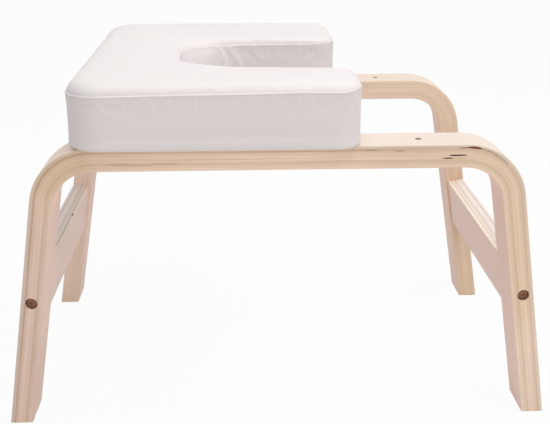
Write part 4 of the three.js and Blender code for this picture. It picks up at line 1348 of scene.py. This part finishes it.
# Creases in the cut's rear side: a path of (x, height), its half width and how far it stands out.
CREASES = [
    ([(-0.0675, 0.3828), (-0.0595, 0.3745), (-0.0570, 0.3587)], 0.0018, 0.0008),
    ([(-0.0551, 0.3813), (-0.0457, 0.3717), (-0.0388, 0.3592)], 0.0018, 0.0008),
]
# A shallow fold in the front under the seam, as a path of (x, height) with its half width and depth.
FOLDS = [([(-0.212, 0.3735), (-0.200, 0.3708), (-0.182, 0.3702), (-0.160, 0.3712)], 0.0025, 0.0005)]
to_seam = row_of - np.where(row_of < seam_row, seam_row - 1, top_row - 1)
near_seam = np.clip(1 - np.abs(to_seam) / PUCKER_ROWS, 0, 1)
off_pucker = np.linalg.norm(skin[:, None, :2] - np.array(PUCKERS), axis=2).min(1)
spare = near_seam * (SPARE_EVEN + (1 - SPARE_EVEN) * np.exp(-(off_pucker / PUCKER_REACH) ** 2))
held = np.full(len(skin), FOAM_HOLD)
held[(row_of < wall_row) | ((row_of >= seam_row - 1) & (row_of < top_row))] = 1
move = drawn_tight(skin, skin_faces, held, 1 - np.round(spare, 2)) - skin
length = np.maximum(np.linalg.norm(move, axis=1), LEAST_MOVE)[:, None]
skin = skin + move * MOST_MOVE * np.tanh(length / MOST_MOVE) / length
creased = np.zeros(len(skin))
by_cut = np.abs(skin[:, 1] - NECK_HALF_WIDTH) < CREASE_REACH
on_cut = by_cut & (row_of >= wall_row) & (row_of < seam_row)
for path, half_width, height in CREASES:
    near = np.exp(-(off_path(skin[:, ::2], path) / half_width) ** 2) * on_cut
    creased = np.maximum(creased, near)
    skin[:, 1] -= height * near
on_front = (skin[:, 1] < -NECK_HALF_WIDTH) & (row_of >= wall_row) & (row_of < seam_row - 1)
for path, half_width, depth in FOLDS:
    skin[:, 1] += depth * np.exp(-(off_path(skin[:, ::2], path) / half_width) ** 2) * on_front

lining_profile = [
    (COVER_HEM, seat_low[2] + COVER_THICKNESS),
    (SIDE_DRAW_IN + COVER_EDGE_RADIUS, seat_low[2] + COVER_THICKNESS),
    (SIDE_DRAW_IN + COVER_THICKNESS, seat_low[2] + COVER_EDGE_RADIUS),
]
lining_profile += [
    (wall_inset(share) + COVER_THICKNESS, wall_foot + (seam_level - wall_foot) * share)
    for share in LINING_RISES
]
lining_profile += [(SEAM_PINCH + COVER_THICKNESS * LINING_PINCH, seam_level - COVER_THICKNESS / 2)]
lining_profile += [(inset, crown_level(inset) - COVER_THICKNESS) for inset in LINING_INSETS]
lining, lining_faces, _, _ = stacked_skin(lining_profile, LINING_GRID)

leather, tree = new_material("white_leather")
here = own_place(tree)
patches = noise_at(tree, here, (9, 9, 12), 3)
pebbles = add_node(tree, "ShaderNodeTexVoronoi", {"feature": "SMOOTH_F1"}, {"Vector": here, "Scale": 1100})
fine = noise_at(tree, here, (1500, 1500, 1500), 2)
seam_shade_mark = add_node(tree, "ShaderNodeAttribute", {"attribute_name": "seam"}).outputs["Fac"]
shaded = ramp_between(tree, patches, 0.3, 0.7)
tint = mixed_colour(tree, shaded, colour(LEATHER_COLOUR), colour(LEATHER_SHADED))
# Painted shade along the seam.
tint = mixed_colour(tree, seam_shade_mark, tint, colour(SEAM_PAINTED_SHADE))
# Painted highlight on the creases.
crease_highlight_mark = add_node(tree, "ShaderNodeAttribute", {"attribute_name": "creased"}).outputs["Fac"]
tint = mixed_colour(tree, crease_highlight_mark, tint, colour(CREASE_PAINTED_HIGHLIGHT))
relief = times_plus(tree, fine, 0.5, pebbles.outputs["Distance"])
finish_surface(tree, tint, times_plus(tree, patches, 0.1, 0.42), relief, 0.22, 0.0003)

# The skin and its lining meet at the hem's inner edge, where a strip of faces closes the shell.
lining_faces = [[corner + len(skin) for corner in reversed(face)] for face in lining_faces]
step = np.arange(columns)
hem_edge = np.stack([step, step + len(skin), (step + 1) % columns + len(skin), (step + 1) % columns], -1)
cover_mesh = bpy.data.meshes.new("sewn_cover")
cover_faces = skin_faces + lining_faces + hem_edge.tolist()
cover_mesh.from_pydata(np.vstack([skin, lining]).tolist(), [], cover_faces)
cover_mesh.shade_smooth()
# Where the seam's painted shade goes: in full on the wall's top row and the groove, less on the lip, faint
# round the neck cut.
on_lip = (row_of > seam_row) & (row_of < top_row)
seam_shade = np.where(np.isin(row_of, [seam_row - 1, seam_row]), 1, on_lip * LIP_SHADE)
in_neck = (np.abs(skin[:, 1]) < NECK_HALF_WIDTH + NECK_REACH) & (skin[:, 0] > neck_end - NECK_REACH)
seam_shade = seam_shade * np.where(in_neck, NECK_SEAM_SHADE, 1)
for mark_name, values in (("seam", seam_shade), ("creased", creased)):
    mark = cover_mesh.attributes.new(mark_name, "FLOAT", "POINT")
    mark.data.foreach_set("value", np.concatenate([values, np.zeros(len(lining))]))
cover = add_piece("sewn_cover", cover_mesh, leather, "white_leather", "seat_cover")
smooth = cover.modifiers.new("smooth", "SUBSURF")
smooth.levels = smooth.render_levels = 1
smooth.boundary_smooth = "PRESERVE_CORNERS"

# Dust cloth.
# Thin black nonwoven cloth over the raw board between the cover's turned-in edges, stretched flat
# and cut out round the four bolts.
CLOTH_GAP = 0.0003
CLOTH_INSET = COVER_HEM + CLOTH_GAP
CLOTH_HOLE = 0.006
CLOTH_GRID = 0.008
CLOTH_DARK = (0.018, 0.018, 0.02)
CLOTH_WORN = (0.05, 0.05, 0.052)

cloth_low, cloth_high = np.array(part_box("seat_dust_cover"))
cloth_profile = [(CLOTH_INSET, cloth_low[2]), (CLOTH_INSET, cloth_high[2])]
points, faces, outline = closed_block(cloth_profile, CLOTH_GRID)
dust_black, tree = new_material("dust_cloth")
here = own_place(tree)
fibres = noise_at(tree, here, (1400, 1400, 1400), 3)
inputs = {"Vector": here, "Scale": 500, "Randomness": 0.15}
dots = add_node(tree, "ShaderNodeTexVoronoi", inputs=inputs).outputs["Distance"]
tint = mixed_colour(tree, fibres, colour(CLOTH_DARK), colour(CLOTH_WORN))
finish_surface(tree, tint, times_plus(tree, fibres, 0.2, 0.7), dots, 0.5, 0.0003)
cloth_mesh = new_mesh("dust_cloth", points, faces)
dust_cloth = add_piece("dust_cloth", cloth_mesh, dust_black, "dust_cloth", "seat_dust_cover")
bolt_places = [(x, facing * strip_mid) for x in (-SEAT_HOLE_ALONG, 0) for facing in (1, -1)]
carve(dust_cloth, [
    plug(CLOTH_HOLE, -PAST_FACE, PAST_FACE, (x, y, cloth_low[2]), (0, 0, 1)) for x, y in bolt_places
])
# The cloth's outline in x and y, and its length and width from its CAD box.
x, y = outline[:, 0], outline[:, 1]
cloth_length, cloth_width = (float(side) for side in (cloth_high - cloth_low)[:2])
flat = (cloth_length, cloth_width)

# Staples.
# Flat steel wire staples hold the dust cloth to the board, in a row just inside its edge. Their legs
# are driven up into the plywood.
STAPLE_INSET = 0.0295
STAPLE_SPACING = 0.028
STAPLE_HALF_LENGTH = 0.0055
STAPLE_LEG = 0.004
STAPLE_BEND = 0.0005
WIRE_HALF_WIDTH = 0.00055
WIRE_THICKNESS = 0.0005

ring = seat_outline([STAPLE_INSET])[0]
lengths = np.linalg.norm(np.roll(ring, -1, 0) - ring, axis=1)
travelled = np.concatenate([[0], np.cumsum(lengths)])
count = int(travelled[-1] / STAPLE_SPACING)
stations = np.linspace(0, travelled[-1], count, endpoint=False)
closed_ring = np.vstack([ring, ring[:1]])


def on_ring(distance):
    """The points at these distances round the closed ring."""
    return np.stack([np.interp(distance, travelled, closed_ring[:, axis]) for axis in (0, 1)], -1)


at = on_ring(stations)
ahead = on_ring(stations + POINT_SPACING / 2) - at
ahead /= np.linalg.norm(ahead, axis=1, keepdims=True)
beside = np.stack([-ahead[:, 1], ahead[:, 0]], -1)
half, bend, thick = STAPLE_HALF_LENGTH, STAPLE_BEND, WIRE_THICKNESS
# The wire's outer and inner side as (along, up), from a leg's tip to its bend, and then mirrored.
outer = np.array([(half, STAPLE_LEG), (half, bend), (half - bend, 0)])
inner = np.array([(half - thick, STAPLE_LEG), (half - thick, bend + thick), (half - bend - thick, thick)])
outer, inner = (np.vstack([side * (-1, 1), side[::-1]]) for side in (outer, inner))
section = [(outer, -1), (outer, 1), (inner, 1), (inner, -1)]
along = np.stack([path[:, 0] for path, _ in section], -1)
up = np.stack([path[:, 1] for path, _ in section], -1)
wide = np.broadcast_to(np.array([side * WIRE_HALF_WIDTH for _, side in section]), along.shape)
flat = at[:, None, None] + along[..., None] * ahead[:, None, None] + wide[..., None] * beside[:, None, None]
height = np.broadcast_to(cloth_low[2] - thick + up, flat.shape[:3])
points = np.concatenate([flat, height[..., None]], -1)
one = np.array(capped_faces(len(outer), len(section)))
faces = (one[None] + np.arange(count)[:, None, None] * len(outer) * len(section)).reshape(-1, 4)
add_piece("cloth_staples", new_mesh("cloth_staples", points, faces), zinc_steel, "zinc_steel")

# Sizes of the finished stool.
low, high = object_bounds()
